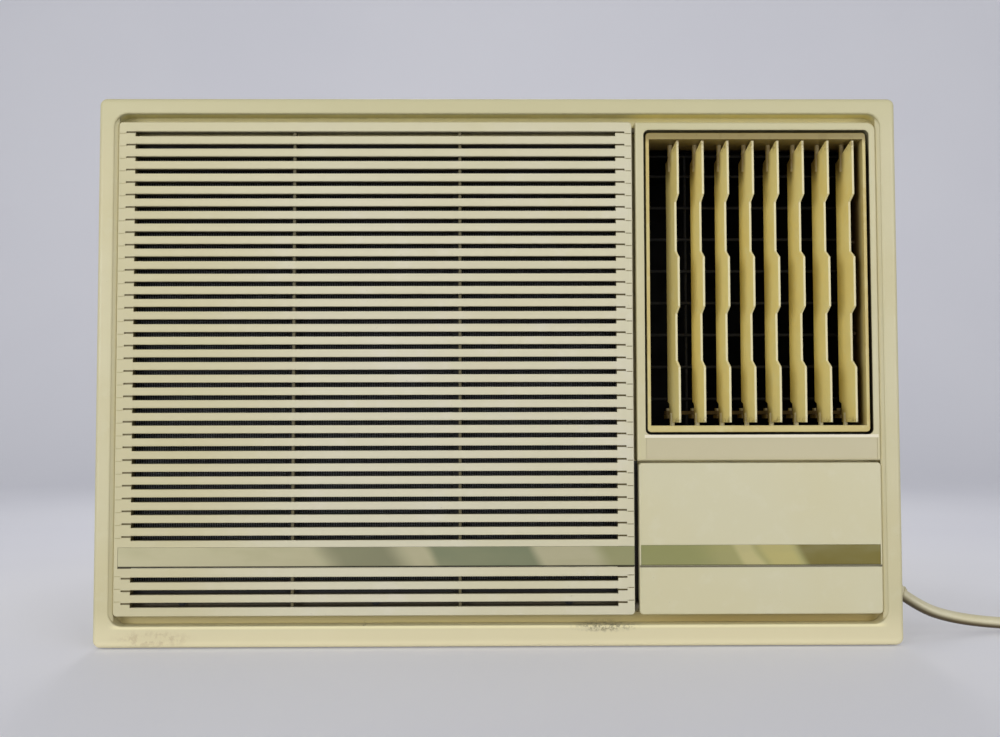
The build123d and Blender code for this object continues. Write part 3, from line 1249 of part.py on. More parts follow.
def self_gap(path, radius):
    """Least gap between loops of a tube, measured on points along its middle."""
    steps = int(path.length / 3)
    points = [path @ (step / steps) for step in range(steps + 1)]
    skip = int(6 * radius / 3) + 1
    least = min(
        (points[one] - points[two]).length
        for one in range(len(points))
        for two in range(one + skip, len(points))
    )
    return least - 2 * radius


def make_cord_coil():
    """Neat coil of the spare cord lying on the ground."""
    path = coil_path()
    print("coil length", round(path.length), "least gap", round(self_gap(path, CORD_R), 2))
    return sweep(Plane(origin=path @ 0, z_dir=path % 0) * Circle(CORD_R), path=path)


def make_cord_tie():
    """Band around the loops of the coil."""
    far = COIL_Y + COIL_START_R + CORD_R + 0.5
    near = COIL_Y + COIL_START_R - 5 * COIL_STEP - CORD_R - 2.5
    top = COIL_Z + COIL_RISE + CORD_R + 0.3
    low = COIL_Z - CORD_R - 0.2
    band = span_box((COIL_X - 5, COIL_X + 5), (near - 0.7, far + 0.7), (low - 0.7, top + 0.7))
    return band - span_box((COIL_X - 6, COIL_X + 6), (near, far), (low, top))


def plug_frame():
    """Where the plug starts: the end of the coil's straight tail."""
    return coil_path() @ 1


def make_power_plug():
    """Moulded plug with a tapered cord entry, lying on the ground beside the coil."""
    end = plug_frame()
    neck = Plane(origin=end, z_dir=(1, 0, 0)) * Pos(0, 0, 11) * Cone(6.5, 9.0, 22)
    low = end.X + 20
    body = span_box((low, low + PLUG_L), (end.Y - 24, end.Y + 24), (0.3, 2 * end.Z - 0.3))
    body = fillet(body.edges().filter_by(Axis.X), 7.0)
    body = fillet(body.faces().sort_by(Axis.X)[0].edges(), 5.0)
    return body + neck


def make_plug_pins():
    """Three round pins of the plug."""
    end = plug_frame()
    low = end.X + 20 + PLUG_L
    pins = [
        rod("X", (end.Y + 14, end.Z), 4.3, (low, low + 26)),
        rod("X", (end.Y - 13, end.Z + 9), 3.5, (low, low + 18)),
        rod("X", (end.Y - 13, end.Z - 9), 3.5, (low, low + 18)),
    ]
    return apart(pins)


PARTS = {
    "outer_case": make_outer_case,
    "case_base": make_case_base,
    "rear_guard": make_rear_guard,
    "case_rails": make_case_rails,
    "case_screws": make_case_screws,
    "base_pan": make_base_pan,
    "drain_spout": make_drain_spout,
    "front_panel": make_front_panel,
    "panel_screws": make_panel_screws,
    "bulkhead": make_bulkhead,
    "blower_scroll": make_scroll,
    "wire_guard": make_wire_guard,
    "evaporator_fins": make_evaporator_fins,
    "condenser_fins": make_condenser_fins,
    "coil_plates": make_coil_plates,
    "coil_bends": make_coil_bends,
    "fan_shroud": make_fan_shroud,
    "motor_shell": make_motor_shell,
    "motor_bearings": make_motor_bearings,
    "motor_bracket": make_motor_bracket,
    "compressor": make_compressor,
    "compressor_grommets": make_compressor_grommets,
    "compressor_studs": make_compressor_studs,
    "discharge_pipe": make_discharge_pipe,
    "suction_line": make_suction_line,
    "liquid_line": make_liquid_line,
    "capillary_tube": make_capillary,
    "control_box": make_control_box,
    "control_plate": make_control_plate,
    "control_switches": make_control_switches,
    "run_capacitor": make_run_capacitor,
    "cord_gland": make_cord_gland,
    "power_cord": make_power_cord,
    "cord_coil": make_cord_coil,
    "cord_tie": make_cord_tie,
    "power_plug": make_power_plug,
    "plug_pins": make_plug_pins,
    "motor_shaft": make_motor_shaft,
    "blower_wheel": make_blower_wheel,
    "propeller_fan": make_propeller,
    "louvre_frame": make_louvre_frame,
    "blade_link": make_link_bar,
    "intake_grille": make_intake_grille,
    "grille_strip": make_grille_strip,
    "filter_frame": make_filter_frame,
    "filter_net": make_filter_net,
    "control_door": make_control_door,
    "door_strip": make_door_strip,
    "vent_pull": make_vent_pull,
    "vent_flap": make_vent_flap,
}


def main():
    """Build every piece and write it to its own file."""
    os.makedirs("parts", exist_ok=True)
    shapes = {name: make() for name, make in PARTS.items()}
    shapes["thermostat_knob"] = make_knob(KNOB_X1, 0)
    shapes["selector_knob"] = make_knob(KNOB_X2, -35)
    for place in range(BLADE_COUNT):
        shapes[f"louvre_blade_{place + 1}"] = make_blade(place)
    for name, shape in shapes.items():
        export_step(shape, f"parts/{name}.step")
    print(len(shapes), "nodes")


main()
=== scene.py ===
"""Looks of a window air conditioner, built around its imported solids.

Each sub-assembly is a class that dresses its own solids and adds the pieces
that repeat or lie loose: fins, tubes, filter threads, dial marks, cord.
Lengths are metres in the frame of the solids, colours are linear.
"""

from __future__ import annotations

import logging
import math
from dataclasses import dataclass
from enum import Enum
from functools import reduce
from typing import Any
from typing import ClassVar

import bmesh
import bpy
from bmesh.types import BMesh
from bpy.types import Material
from bpy.types import Node
from bpy.types import NodeSocket
from bpy.types import NodeTree
from bpy.types import Object
from mathutils import Matrix
from mathutils import Vector

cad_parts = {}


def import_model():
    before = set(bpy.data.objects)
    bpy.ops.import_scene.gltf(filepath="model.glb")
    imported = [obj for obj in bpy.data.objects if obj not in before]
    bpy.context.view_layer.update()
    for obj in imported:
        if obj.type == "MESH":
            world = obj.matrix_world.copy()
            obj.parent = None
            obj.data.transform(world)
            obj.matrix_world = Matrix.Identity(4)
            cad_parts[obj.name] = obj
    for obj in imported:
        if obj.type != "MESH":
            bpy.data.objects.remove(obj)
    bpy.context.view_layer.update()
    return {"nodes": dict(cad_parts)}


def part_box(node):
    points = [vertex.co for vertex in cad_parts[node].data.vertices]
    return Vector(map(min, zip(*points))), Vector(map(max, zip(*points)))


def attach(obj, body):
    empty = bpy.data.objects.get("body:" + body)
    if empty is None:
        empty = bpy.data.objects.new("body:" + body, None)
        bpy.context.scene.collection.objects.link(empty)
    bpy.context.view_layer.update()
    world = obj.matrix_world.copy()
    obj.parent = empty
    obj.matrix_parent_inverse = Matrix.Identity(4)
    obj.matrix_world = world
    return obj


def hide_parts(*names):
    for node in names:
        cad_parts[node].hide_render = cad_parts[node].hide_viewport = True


LOG = logging.getLogger("window_unit")

Colour = tuple[float, float, float]
Point = tuple[float, float, float]


def paint(red: int, green: int, blue: int) -> Colour:
    """Turn a colour as a screen shows it into a linear one.

    Args:
        red: Red from 0 to 255.
        green: Green from 0 to 255.
        blue: Blue from 0 to 255.

    Returns:
        The linear colour.
    """
    shares = []
    for value in (red, green, blue):
        share = value / 255
        low = share / 12.92
        high = ((share + 0.055) / 1.055) ** 2.4
        shares.append(low if share <= 0.04045 else high)
    return (shares[0], shares[1], shares[2])


SPECK = paint(104, 88, 52)
METAL_SPOT = (0.03, 0.02, 0.015)
MOULDING_DUST = paint(150, 142, 124)
SHEET_DUST = paint(158, 150, 132)


class Socket(Enum):
    """Kinds of socket on a node group."""

    COLOUR = "NodeSocketColor"
    VALUE = "NodeSocketFloat"
    COUNT = "NodeSocketInt"
    VECTOR = "NodeSocketVector"
    GEOMETRY = "NodeSocketGeometry"
    MATERIAL = "NodeSocketMaterial"


SOCKET_NAMES = {
    Socket.COLOUR: "Base Warm Pale Colour Shade Dirt Tint Dust Dark Bright Dull",
    Socket.VALUE: (
        "Patch Amount Grain Sheen Height Front Depth Grit Solid Half Mask Spangle Scale Growth First Turn"
    ),
    Socket.COUNT: "Count",
    Socket.VECTOR: "Vector Normal Corner Opposite Centre Reach Way Start Step",
    Socket.GEOMETRY: "Piece Geometry",
    Socket.MATERIAL: "Finish",
}
SOCKETS = {name: kind.value for kind, names in SOCKET_NAMES.items() for name in names.split()}


class Graph:
    """Short calls for adding and linking the nodes of one tree."""

    def __init__(self, tree: NodeTree) -> None:
        """Keep the tree that the nodes go on."""
        self.tree = tree

    def feed(self, socket: NodeSocket, value: Any) -> None:
        """Link a socket to another, or set its own value.

        Args:
            socket: The input socket.
            value: An output socket, a number, a vector or a colour.
        """
        if isinstance(value, NodeSocket):
            self.tree.links.new(value, socket)
        elif socket.type == "RGBA":
            socket.default_value = (*value[:3], 1.0)
        else:
            socket.default_value = value

    def node(self, kind: str, inputs: dict[Any, Any] | None = None, **settings: Any) -> Node:
        """Add one node.

        Args:
            kind: The node's type name.
            inputs: Values or sockets by input name or place.
            **settings: Properties of the node itself.

        Returns:
            The new node.
        """
        made = self.tree.nodes.new(kind)
        for name, value in settings.items():
            setattr(made, name, value)
        for place, value in (inputs or {}).items():
            self.feed(made.inputs[place], value)
        return made

    def math(self, operation: str, first: Any, second: Any = 0.0) -> NodeSocket:
        """Add a sum of one or two values and give its result."""
        return self.node("ShaderNodeMath", {0: first, 1: second}, operation=operation).outputs[0]

    def times(self, first: Any, *others: Any) -> NodeSocket:
        """Multiply values, one after the other."""
        return reduce(lambda made, other: self.math("MULTIPLY", made, other), others, first)

    def vector(self, operation: str, first: Any, second: Any = (0.0, 0.0, 0.0)) -> NodeSocket:
        """Add a sum of vectors and give its result."""
        made = self.node("ShaderNodeVectorMath", {0: first, 1: second}, operation=operation)
        return made.outputs["Value" if operation in ("LENGTH", "DOT_PRODUCT") else "Vector"]

    def axes(self, vector: Any) -> Any:
        """Split a vector into its X, Y and Z."""
        return self.node("ShaderNodeSeparateXYZ", {0: vector}).outputs

    def fade(self, value: Any, low: Any, high: Any, start: Any = 0.0, end: Any = 1.0) -> NodeSocket:
        """Map a value smoothly from the range low to high onto start to end."""
        places = {0: value, 1: low, 2: high, 3: start, 4: end}
        return self.node("ShaderNodeMapRange", places, interpolation_type="SMOOTHSTEP").outputs[0]

    def mix(self, share: Any, first: Any, second: Any) -> NodeSocket:
        """Mix two colours, by the share of the second."""
        return self.node("ShaderNodeMix", {0: share, 6: first, 7: second}, data_type="RGBA").outputs[2]

    def noise(self, vector: Any, scale: Any, detail: float = 3.0, rough: float = 0.55) -> NodeSocket:
        """Add a cloudy pattern and give its value."""
        places = {"Vector": vector, "Scale": scale, "Detail": detail, "Roughness": rough}
        return self.node("ShaderNodeTexNoise", places).outputs["Fac"]

    def stretched(self, vector: Any, scale: Point) -> NodeSocket:
        """Scale coordinates along each axis."""
        return self.node("ShaderNodeMapping", {"Vector": vector, "Scale": scale}).outputs["Vector"]

    def bump(self, shader: Any, height: Any, strength: float, distance: float) -> None:
        """Press a pattern of heights into a surface."""
        places = {"Height": height, "Strength": strength, "Distance": distance}
        self.feed(shader["Normal"], self.node("ShaderNodeBump", places).outputs["Normal"])


class Trees:
    """Node groups of one kind, each built when it is first asked for."""

    kind: ClassVar[str]

    def __init__(self) -> None:
        """Start with no group built."""
        self.made: dict[str, NodeTree] = {}

    def get(self, name: str) -> NodeTree:
        """Give a group, building it the first time.

        Args:
            name: The group's name.

        Returns:
            The group.
        """
        if name not in self.made:
            getattr(self, "build_" + name)()
        return self.made[name]

    def open(self, name: str, inputs: str, outputs: str) -> tuple[Graph, Any, Any]:
        """Start a group with named sockets.

        Args:
            name: The group's name.
            inputs: Names of its inputs.
            outputs: Names of its outputs.

        Returns:
            The graph, the input node's sockets and the output node's sockets.
        """
        tree = bpy.data.node_groups.new(name, self.kind)
        for way, names in (("INPUT", inputs), ("OUTPUT", outputs)):
            for title in names.split():
                tree.interface.new_socket(name=title, in_out=way, socket_type=SOCKETS[title])
        self.made[name] = tree
        graph = Graph(tree)
        return graph, graph.node("NodeGroupInput").outputs, graph.node("NodeGroupOutput").inputs


class ShaderGroups(Trees):
    """Surface effects that several finishes share."""

    kind = "ShaderNodeTree"

    def place(self, graph: Graph, name: str, **inputs: Any) -> Any:
        """Place an effect in a material, with its values, and give its output sockets."""
        titled = {key.title(): value for key, value in inputs.items()}
        return graph.node("ShaderNodeGroup", titled, node_tree=self.get(name)).outputs

    def build_aged(self) -> None:
        """Aged moulding: warm and bleached patches, fine specks and a fine grain."""
        sockets = "Vector Base Warm Pale Patch Amount Grain"
        graph, given, out = self.open("aged", sockets, "Colour Sheen Height")
        broad = graph.noise(given["Vector"], given["Patch"], detail=3.0)
        small = graph.noise(given["Vector"], graph.times(given["Patch"], 6.3), detail=5.0, rough=0.62)
        fine = graph.noise(given["Vector"], graph.times(given["Patch"], 70.0), detail=2.0)
        warm = graph.times(graph.fade(broad, 0.40, 0.66), given["Amount"])
        colour = graph.mix(warm, given["Base"], given["Warm"])
        pale = graph.times(graph.fade(small, 0.50, 0.74), given["Amount"])
        colour = graph.mix(pale, colour, given["Pale"])
        speck = graph.times(graph.fade(fine, 0.70, 0.80), graph.fade(small, 0.45, 0.60), 0.22)
        graph.feed(out["Colour"], graph.mix(speck, colour, SPECK))
        graph.feed(out["Sheen"], graph.fade(graph.math("ADD", broad, small), 0.75, 1.25))
        graph.feed(out["Height"], graph.noise(given["Vector"], given["Grain"], detail=2.0, rough=0.6))

    def build_recess(self) -> None:
        """Painted shade that deepens behind a front plane, inside a box seen from the front; a few paler ones
        are painted light.
        """
        sockets = "Vector Colour Shade Front Depth Corner Opposite"
        graph, given, out = self.open("recess", sockets, "Colour")
        axes = graph.axes(given["Vector"])
        behind = graph.math("SUBTRACT", axes["Y"], given["Front"])
        share = graph.fade(graph.math("DIVIDE", behind, given["Depth"]), 0.0, 1.0)
        near = graph.axes(given["Corner"])
        far = graph.axes(given["Opposite"])
        for axis in ("X", "Z"):
            share = graph.times(share, graph.math("GREATER_THAN", axes[axis], near[axis]))
            share = graph.times(share, graph.math("LESS_THAN", axes[axis], far[axis]))
        graph.feed(out["Colour"], graph.mix(share, given["Colour"], given["Shade"]))

    def build_grime_and_light_patch(self) -> None:
        """Patch of colour about one place, which ends softly at a half width; it lays grime broken by grit,
        and also even painted shade and highlights.
        """
        sockets = "Vector Colour Dirt Centre Reach Amount Grit Solid Half"
        graph, given, out = self.open("grime_and_light_patch", sockets, "Colour")
        away = graph.vector("SUBTRACT", given["Vector"], given["Centre"])
        away = graph.vector("LENGTH", graph.vector("DIVIDE", away, given["Reach"]))
        near = graph.fade(away, 0.25, 1.0, start=1.0, end=0.0)
        grit = graph.fade(graph.noise(given["Vector"], given["Grit"], detail=4.0, rough=0.7), 0.44, 0.60)
        grit = graph.math("MAXIMUM", grit, given["Solid"])
        aside = graph.math("ABSOLUTE", graph.axes(given["Vector"])["X"])
        kept = graph.fade(graph.math("SUBTRACT", given["Half"], aside), 0.0, 0.010)
        mask = graph.times(graph.times(near, grit), graph.times(kept, given["Amount"]))
        graph.feed(out["Colour"], graph.mix(mask, given["Colour"], given["Dirt"]))

    def build_facing(self) -> None:
        """Painted light: another colour on the faces that look one way."""
        graph, given, out = self.open("facing", "Vector Colour Tint Way Amount", "Colour")
        toward = graph.vector("DOT_PRODUCT", given["Vector"], given["Way"])
        share = graph.times(graph.fade(toward, 0.25, 0.9), given["Amount"])
        graph.feed(out["Colour"], graph.mix(share, given["Colour"], given["Tint"]))

    def build_dust(self) -> None:
        """Dust that settles on faces that look up, in drifts."""
        graph, given, out = self.open("dust", "Vector Normal Colour Dust Amount", "Colour Mask")
        up = graph.fade(graph.axes(given["Normal"])["Z"], 0.35, 1.0)
        drift = graph.noise(given["Vector"], 26.0, detail=5.0, rough=0.65)
        drift = graph.fade(drift, 0.32, 0.70, start=0.25, end=1.0)
        mask = graph.times(up, drift, given["Amount"])
        graph.feed(out["Colour"], graph.mix(mask, given["Colour"], given["Dust"]))
        graph.feed(out["Mask"], mask)

    def build_sheet(self) -> None:
        """Sheet metal: crystal spangle, long streaks and fine rolling marks."""
        graph, given, out = self.open("sheet", "Vector Base Dark Spangle Amount", "Colour Sheen Height")
        warp = graph.node("ShaderNodeTexNoise", {"Vector": given["Vector"], "Scale": 60.0, "Detail": 2.0})
        shift = graph.vector("MULTIPLY", warp.outputs["Color"], (0.012, 0.012, 0.012))
        bent = graph.vector("ADD", given["Vector"], shift)
        cells = graph.node("ShaderNodeTexVoronoi", {"Vector": bent, "Scale": given["Spangle"]})
        tone = graph.node("ShaderNodeSeparateColor", {0: cells.outputs["Color"]}).outputs[0]
        streak = graph.noise(graph.stretched(given["Vector"], (7.0, 1.0, 7.0)), 30.0, detail=4.0)
        share = graph.times(tone, streak, given["Amount"])
        graph.feed(out["Colour"], graph.mix(share, given["Base"], given["Dark"]))
        graph.feed(out["Sheen"], graph.math("ADD", graph.times(tone, 0.5), graph.times(streak, 0.5)))
        rolled = graph.stretched(given["Vector"], (1.0, 8.0, 1.0))
        graph.feed(out["Height"], graph.noise(rolled, 900.0, detail=2.0))

    def build_tarnish(self) -> None:
        """Bare metal that has dulled in clouds, with darker spots."""
        graph, given, out = self.open("tarnish", "Vector Bright Dull Scale Amount", "Colour Sheen")
        cloud = graph.noise(given["Vector"], given["Scale"], detail=5.0, rough=0.62)
        spots = graph.noise(given["Vector"], graph.times(given["Scale"], 9.0), detail=3.0)
        share = graph.times(graph.fade(cloud, 0.38, 0.68), given["Amount"])
        colour = graph.mix(share, given["Bright"], given["Dull"])
        spot = graph.times(graph.fade(spots, 0.62, 0.74), given["Amount"], 0.5)
        graph.feed(out["Colour"], graph.mix(spot, colour, METAL_SPOT))
        graph.feed(out["Sheen"], graph.fade(graph.math("ADD", cloud, spots), 0.7, 1.3))


GROUPS = ShaderGroups()


def start_material(name: str) -> tuple[Material, Graph, Any, Any]:
    """Make a material with its shader and coordinates.

    Args:
        name: The material's name.

    Returns:
        The material, its graph, the shader's inputs and the piece's own coordinates.
    """
    material = bpy.data.materials.new(name)
    material.use_nodes = True
    material.node_tree.nodes.clear()
    graph = Graph(material.node_tree)
    shader = graph.node("ShaderNodeBsdfPrincipled")
    graph.node("ShaderNodeOutputMaterial", {"Surface": shader.outputs["BSDF"]})
    return material, graph, shader.inputs, graph.node("ShaderNodeTexCoord").outputs


def values(finish: Any, *names: str) -> dict[str, Any]:
    """Give some of a finish's values by name."""
    return {name: getattr(finish, name) for name in names}


def dusted(graph: Graph, own: Any, colour: Any, dust: Colour, amount: float) -> Any:
    """Lay dust over a colour and give the results of its group."""
    inputs = {"colour": colour, "dust": dust, "amount": amount}
    return GROUPS.place(graph, "dust", vector=own["Object"], normal=own["Normal"], **inputs)


@dataclass(frozen=True)
class Effect:
    """Shared effect that is laid over the colour of a moulding."""

    group: ClassVar[str]
    reads: ClassVar[str] = "Object"

    def over(self, colour: Any, graph: Graph, own: Any) -> NodeSocket:
        """Lay the effect over a colour and give the new colour."""
        made = GROUPS.place(graph, self.group, vector=own[self.reads], colour=colour, **vars(self))
        return made["Colour"]


@dataclass(frozen=True)
class GrimeAndLightPatch(Effect):
    """One patch on a moulding, which carries grime and also even painted shade and highlights."""

    group: ClassVar[str] = "grime_and_light_patch"
    centre: Point
    reach: Point
    dirt: Colour
    amount: float = 0.6
    grit: float = 220.0
    solid: float = 0.0
    half: float = 1.0


@dataclass(frozen=True)
class Recess(Effect):
    """Painted shade that deepens behind a front plane; a few paler ones are painted light."""

    group: ClassVar[str] = "recess"
    front: float
    depth: float
    shade: Colour
    corner: Point = (-1.0, 0.0, -1.0)
    opposite: Point = (1.0, 0.0, 1.0)


@dataclass(frozen=True)
class Facing(Effect):
    """Painted light: a tint of the faces that look one way."""

    group: ClassVar[str] = "facing"
    reads: ClassVar[str] = "Normal"
    way: Point
    tint: Colour
    amount: float = 1.0


@dataclass(frozen=True)
class Moulding:
    """Finish of a moulded plastic or rubber piece."""

    name: str
    base: Colour
    warm: Colour
    pale: Colour
    smooth: float = 0.36
    dull: float = 0.50
    patch: float = 8.0
    amount: float = 0.45
    grain: float = 1400.0
    relief: float = 0.10
    dust: float = 0.0
    specular: float = 0.5
    effects: tuple[Effect, ...] = ()

    def material(self) -> Material:
        """Build the material.

        Returns:
            The material.
        """
        material, graph, shader, own = start_material(self.name)
        inputs = values(self, "base", "warm", "pale", "patch", "amount", "grain")
        aged = GROUPS.place(graph, "aged", vector=own["Object"], **inputs)
        colour = aged["Colour"]
        for effect in self.effects:
            colour = effect.over(colour, graph, own)
        if self.dust:
            colour = dusted(graph, own, colour, MOULDING_DUST, self.dust)["Colour"]
        shader["Specular IOR Level"].default_value = self.specular
        graph.feed(shader["Base Color"], colour)
        graph.feed(shader["Roughness"], graph.fade(aged["Sheen"], 0.0, 1.0, start=self.smooth, end=self.dull))
        graph.bump(shader, aged["Height"], self.relief, distance=0.0004)
        return material


@dataclass(frozen=True)
class SheetMetal:
    """Finish of painted or zinc-coated sheet."""

    name: str
    base: Colour
    dark: Colour
    metallic: float = 0.0
    smooth: float = 0.34
    dull: float = 0.52
    spangle: float = 90.0
    amount: float = 0.5
    relief: float = 0.06
    dust: float = 0.25

    def material(self) -> Material:
        """Build the material.

        Returns:
            The material.
        """
        material, graph, shader, own = start_material(self.name)
        inputs = values(self, "base", "dark", "spangle", "amount")
        sheet = GROUPS.place(graph, "sheet", vector=own["Object"], **inputs)
        dust = dusted(graph, own, sheet["Colour"], SHEET_DUST, self.dust)
        graph.feed(shader["Base Color"], dust["Colour"])
        rough = graph.fade(sheet["Sheen"], 0.1, 0.9, start=self.smooth, end=self.dull)
        graph.feed(shader["Roughness"], graph.math("MAXIMUM", rough, graph.times(dust["Mask"], 1.4)))
        if self.metallic:
            graph.feed(shader["Metallic"], graph.fade(dust["Mask"], 0.0, 0.8, start=self.metallic, end=0.0))
        graph.bump(shader, sheet["Height"], self.relief, distance=0.0003)
        return material


@dataclass(frozen=True)
class BareMetal:
    """Finish of copper, brass, bronze, steel or aluminium without a coat."""

    name: str
    bright: Colour
    dull_colour: Colour
    smooth: float = 0.22
    dull: float = 0.46
    scale: float = 30.0
    amount: float = 0.6
    metallic: float = 1.0

    def material(self) -> Material:
        """Build the material.

        Returns:
            The material.
        """
        material, graph, shader, own = start_material(self.name)
        inputs = values(self, "bright", "scale", "amount")
        tarnish = GROUPS.place(graph, "tarnish", vector=own["Object"], dull=self.dull_colour, **inputs)
        graph.feed(shader["Base Color"], tarnish["Colour"])
        rough = graph.fade(tarnish["Sheen"], 0.0, 1.0, start=self.smooth, end=self.dull)
        graph.feed(shader["Roughness"], rough)
        shader["Metallic"].default_value = self.metallic
        scratch = graph.noise(graph.stretched(own["Object"], (40.0, 400.0, 400.0)), 6.0, detail=3.0)
        graph.bump(shader, scratch, strength=0.05, distance=0.0002)
        return material


@dataclass(frozen=True)
class Gleam:
    """One slanted painted reflection on the foil: a patch of another tone."""

    start: float
    end: float
    colour: Colour
    soft: float = 0.006


@dataclass(frozen=True)
class Foil:
    """Finish of the bright strip: thin foil that lies a little uneven, with painted reflections and a painted
    shadow line along its lower edge.
    """

    name: str
    base: Colour
    gleams: tuple[Gleam, ...]
    # Painted shadow in a line along the strip's lower edge.
    edge: Colour = paint(38, 35, 22)
    haze: Colour = paint(150, 146, 112)
    low: float = 0.0662
    middle: float = 0.0736
    edge_height: float = 0.0010
    slant: float = 0.55
    sway: float = 0.004
    metallic: float = 0.55

    def material(self) -> Material:
        """Build the material.

        Returns:
            The material.
        """
        material, graph, shader, own = start_material(self.name)
        place = own["Object"]
        axes = graph.axes(place)
        lean = graph.math("ADD", axes["X"], graph.times(axes["Z"], self.slant))
        sway = graph.fade(graph.noise(place, 14.0, detail=2.0), 0.3, 0.7, start=-self.sway, end=self.sway)
        along = graph.math("SUBTRACT", graph.math("ADD", lean, sway), self.middle * self.slant)
        colour: Any = self.base
        # Painted reflections, each a slanted patch.
        for gleam in self.gleams:
            rise = graph.fade(along, gleam.start - gleam.soft, gleam.start + gleam.soft)
            fall = graph.fade(along, gleam.end - gleam.soft, gleam.end + gleam.soft, start=1.0, end=0.0)
            colour = graph.mix(graph.times(rise, fall), colour, gleam.colour)
        haze = graph.noise(graph.stretched(place, (1.0, 1.0, 3.0)), 18.0, detail=3.0, rough=0.5)
        colour = graph.mix(graph.fade(haze, 0.4, 0.8, start=0.0, end=0.3), colour, self.haze)
        # Painted shadow line along the lower edge.
        line = graph.fade(axes["Z"], self.low, self.low + self.edge_height, start=1.0, end=0.0)
        graph.feed(shader["Base Color"], graph.mix(line, colour, self.edge))
        graph.feed(shader["Roughness"], graph.fade(haze, 0.3, 0.7, start=0.40, end=0.52))
        shader["Metallic"].default_value = self.metallic
        waves = graph.noise(graph.stretched(place, (1.0, 1.0, 0.4)), 22.0, detail=2.0)
        graph.bump(shader, waves, strength=0.03, distance=0.004)
        return material


class Wardrobe:
    """Keeps one material for each finish and puts it on pieces."""

    def __init__(self, nodes: dict[str, Object]) -> None:
        """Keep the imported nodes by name."""
        self.nodes = nodes
        self.materials: dict[str, Material] = {}

    def material(self, finish: Any) -> Material:
        """Give the material of a finish, building it the first time.

        Args:
            finish: The finish.

        Returns:
            Its material.
        """
        if finish.name not in self.materials:
            self.materials[finish.name] = finish.material()
        return self.materials[finish.name]

    def dress(self, finish: Any, *names: str) -> None:
        """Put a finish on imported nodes.

        Args:
            finish: The finish.
            *names: The nodes that wear it.
        """
        material = self.material(finish)
        for name in names:
            for slot in self.nodes[name].material_slots:
                slot.material = material
            LOG.info("%s wears %s", name, finish.name)


def painted_light_band(centre: Point, reach: Point, colour: Colour, amount: float, half: float = 1.0) -> GrimeAndLightPatch:
    """Give an even patch of painted light, darker or lighter than the surface, without grit."""
    return GrimeAndLightPatch(centre, reach, colour, amount, grit=9.0, solid=1.0, half=half)


CHANNEL_HALF = 0.3182
CHANNEL = ((-CHANNEL_HALF, 0.0, 0.0173), (CHANNEL_HALF, 0.0, 0.4402))
# Painted shade for the grooves at the slot ends, and for the step lines in the grille's border.
RIB_SHADE = paint(86, 74, 34)
EDGE_SHADE = paint(116, 104, 60)

IVORY = Moulding(
    "ivory_panel",
    base=paint(204, 196, 157),
    warm=paint(202, 191, 145),
    pale=paint(209, 203, 169),
    effects=(
        # Painted light deeper than the front face: paler than the base, which lifts the shade of the
        # channels.
        Recess(-0.3385, 0.006, paint(226, 212, 158), *CHANNEL),
        # Painted shade deep inside the bays.
        Recess(-0.3200, 0.022, paint(58, 47, 24), *CHANNEL),
        # Painted shade on the outlet's inner walls, from their front edge.
        Recess(-0.3393, 0.0025, paint(30, 23, 11), (0.1198, 0.0, 0.1722), (0.3085, 0.0, 0.4262)),
        # Painted shade in the shallow pocket below the outlet.
        Recess(-0.3389, 0.0003, paint(198, 189, 154), (0.1195, 0.0, 0.1520), (0.3120, 0.0, 0.1702)),
        # Painted highlight on the rounded edge between that pocket and the outlet.
        Recess(-0.3420, 0.0010, paint(234, 226, 200), (0.1195, 0.0, 0.1702), (0.3120, 0.0, 0.1727)),
        # Painted shade in the gap between the grille and the door.
        Recess(-0.3380, 0.0010, paint(48, 40, 21), (0.1102, 0.0, 0.0265), (0.1150, 0.0, 0.1510)),
        # Painted shade over the top of the rim; painted light on its bottom lip.
        painted_light_band((0.0, -0.340, 0.460), (1.4, 0.06, 0.060), paint(199, 192, 150), 0.9),
        painted_light_band((0.0, -0.340, 0.002), (1.4, 0.06, 0.034), paint(222, 212, 172), 0.95),
        painted_light_band((0.0, -0.340, -0.003), (1.4, 0.06, 0.012), paint(244, 234, 194), 0.9),
        # Painted shade on the back wall of the bottom channel, darker below the door.
        painted_light_band((0.0, -0.325, 0.0205), (1.4, 0.004, 0.0085), paint(192, 177, 120), 0.95, CHANNEL_HALF),
        painted_light_band((0.230, -0.325, 0.0205), (0.18, 0.004, 0.0085), paint(162, 142, 80), 0.9, CHANNEL_HALF),
        # Painted highlight on the bottom channel's floor, at the lip's edge.
        painted_light_band((0.0, -0.336, 0.0180), (1.4, 0.010, 0.0030), paint(246, 236, 188), 0.95, CHANNEL_HALF),
        # Painted light in the top channel, yellow like light thrown between its walls.
        painted_light_band((0.0, -0.331, 0.4390), (1.4, 0.009, 0.0070), paint(255, 242, 156), 0.95, CHANNEL_HALF),
        # Painted shade, with dust, on the foot wall of the bays.
        painted_light_band((-0.10, -0.325, 0.0370), (0.9, 0.010, 0.0120), paint(44, 35, 17), 0.95, CHANNEL_HALF),
        GrimeAndLightPatch((0.086, -0.336, 0.0175), (0.034, 0.02, 0.0060), paint(84, 72, 44), 0.75, 300.0, 0.15),
        GrimeAndLightPatch((-0.281, -0.340, 0.0085), (0.040, 0.02, 0.0095), paint(176, 154, 116), 0.45, 150.0, 0.2),
        GrimeAndLightPatch((-0.110, -0.338, 0.0195), (0.003, 0.02, 0.0020), paint(60, 50, 30), 0.9, 500.0),
    ),
)
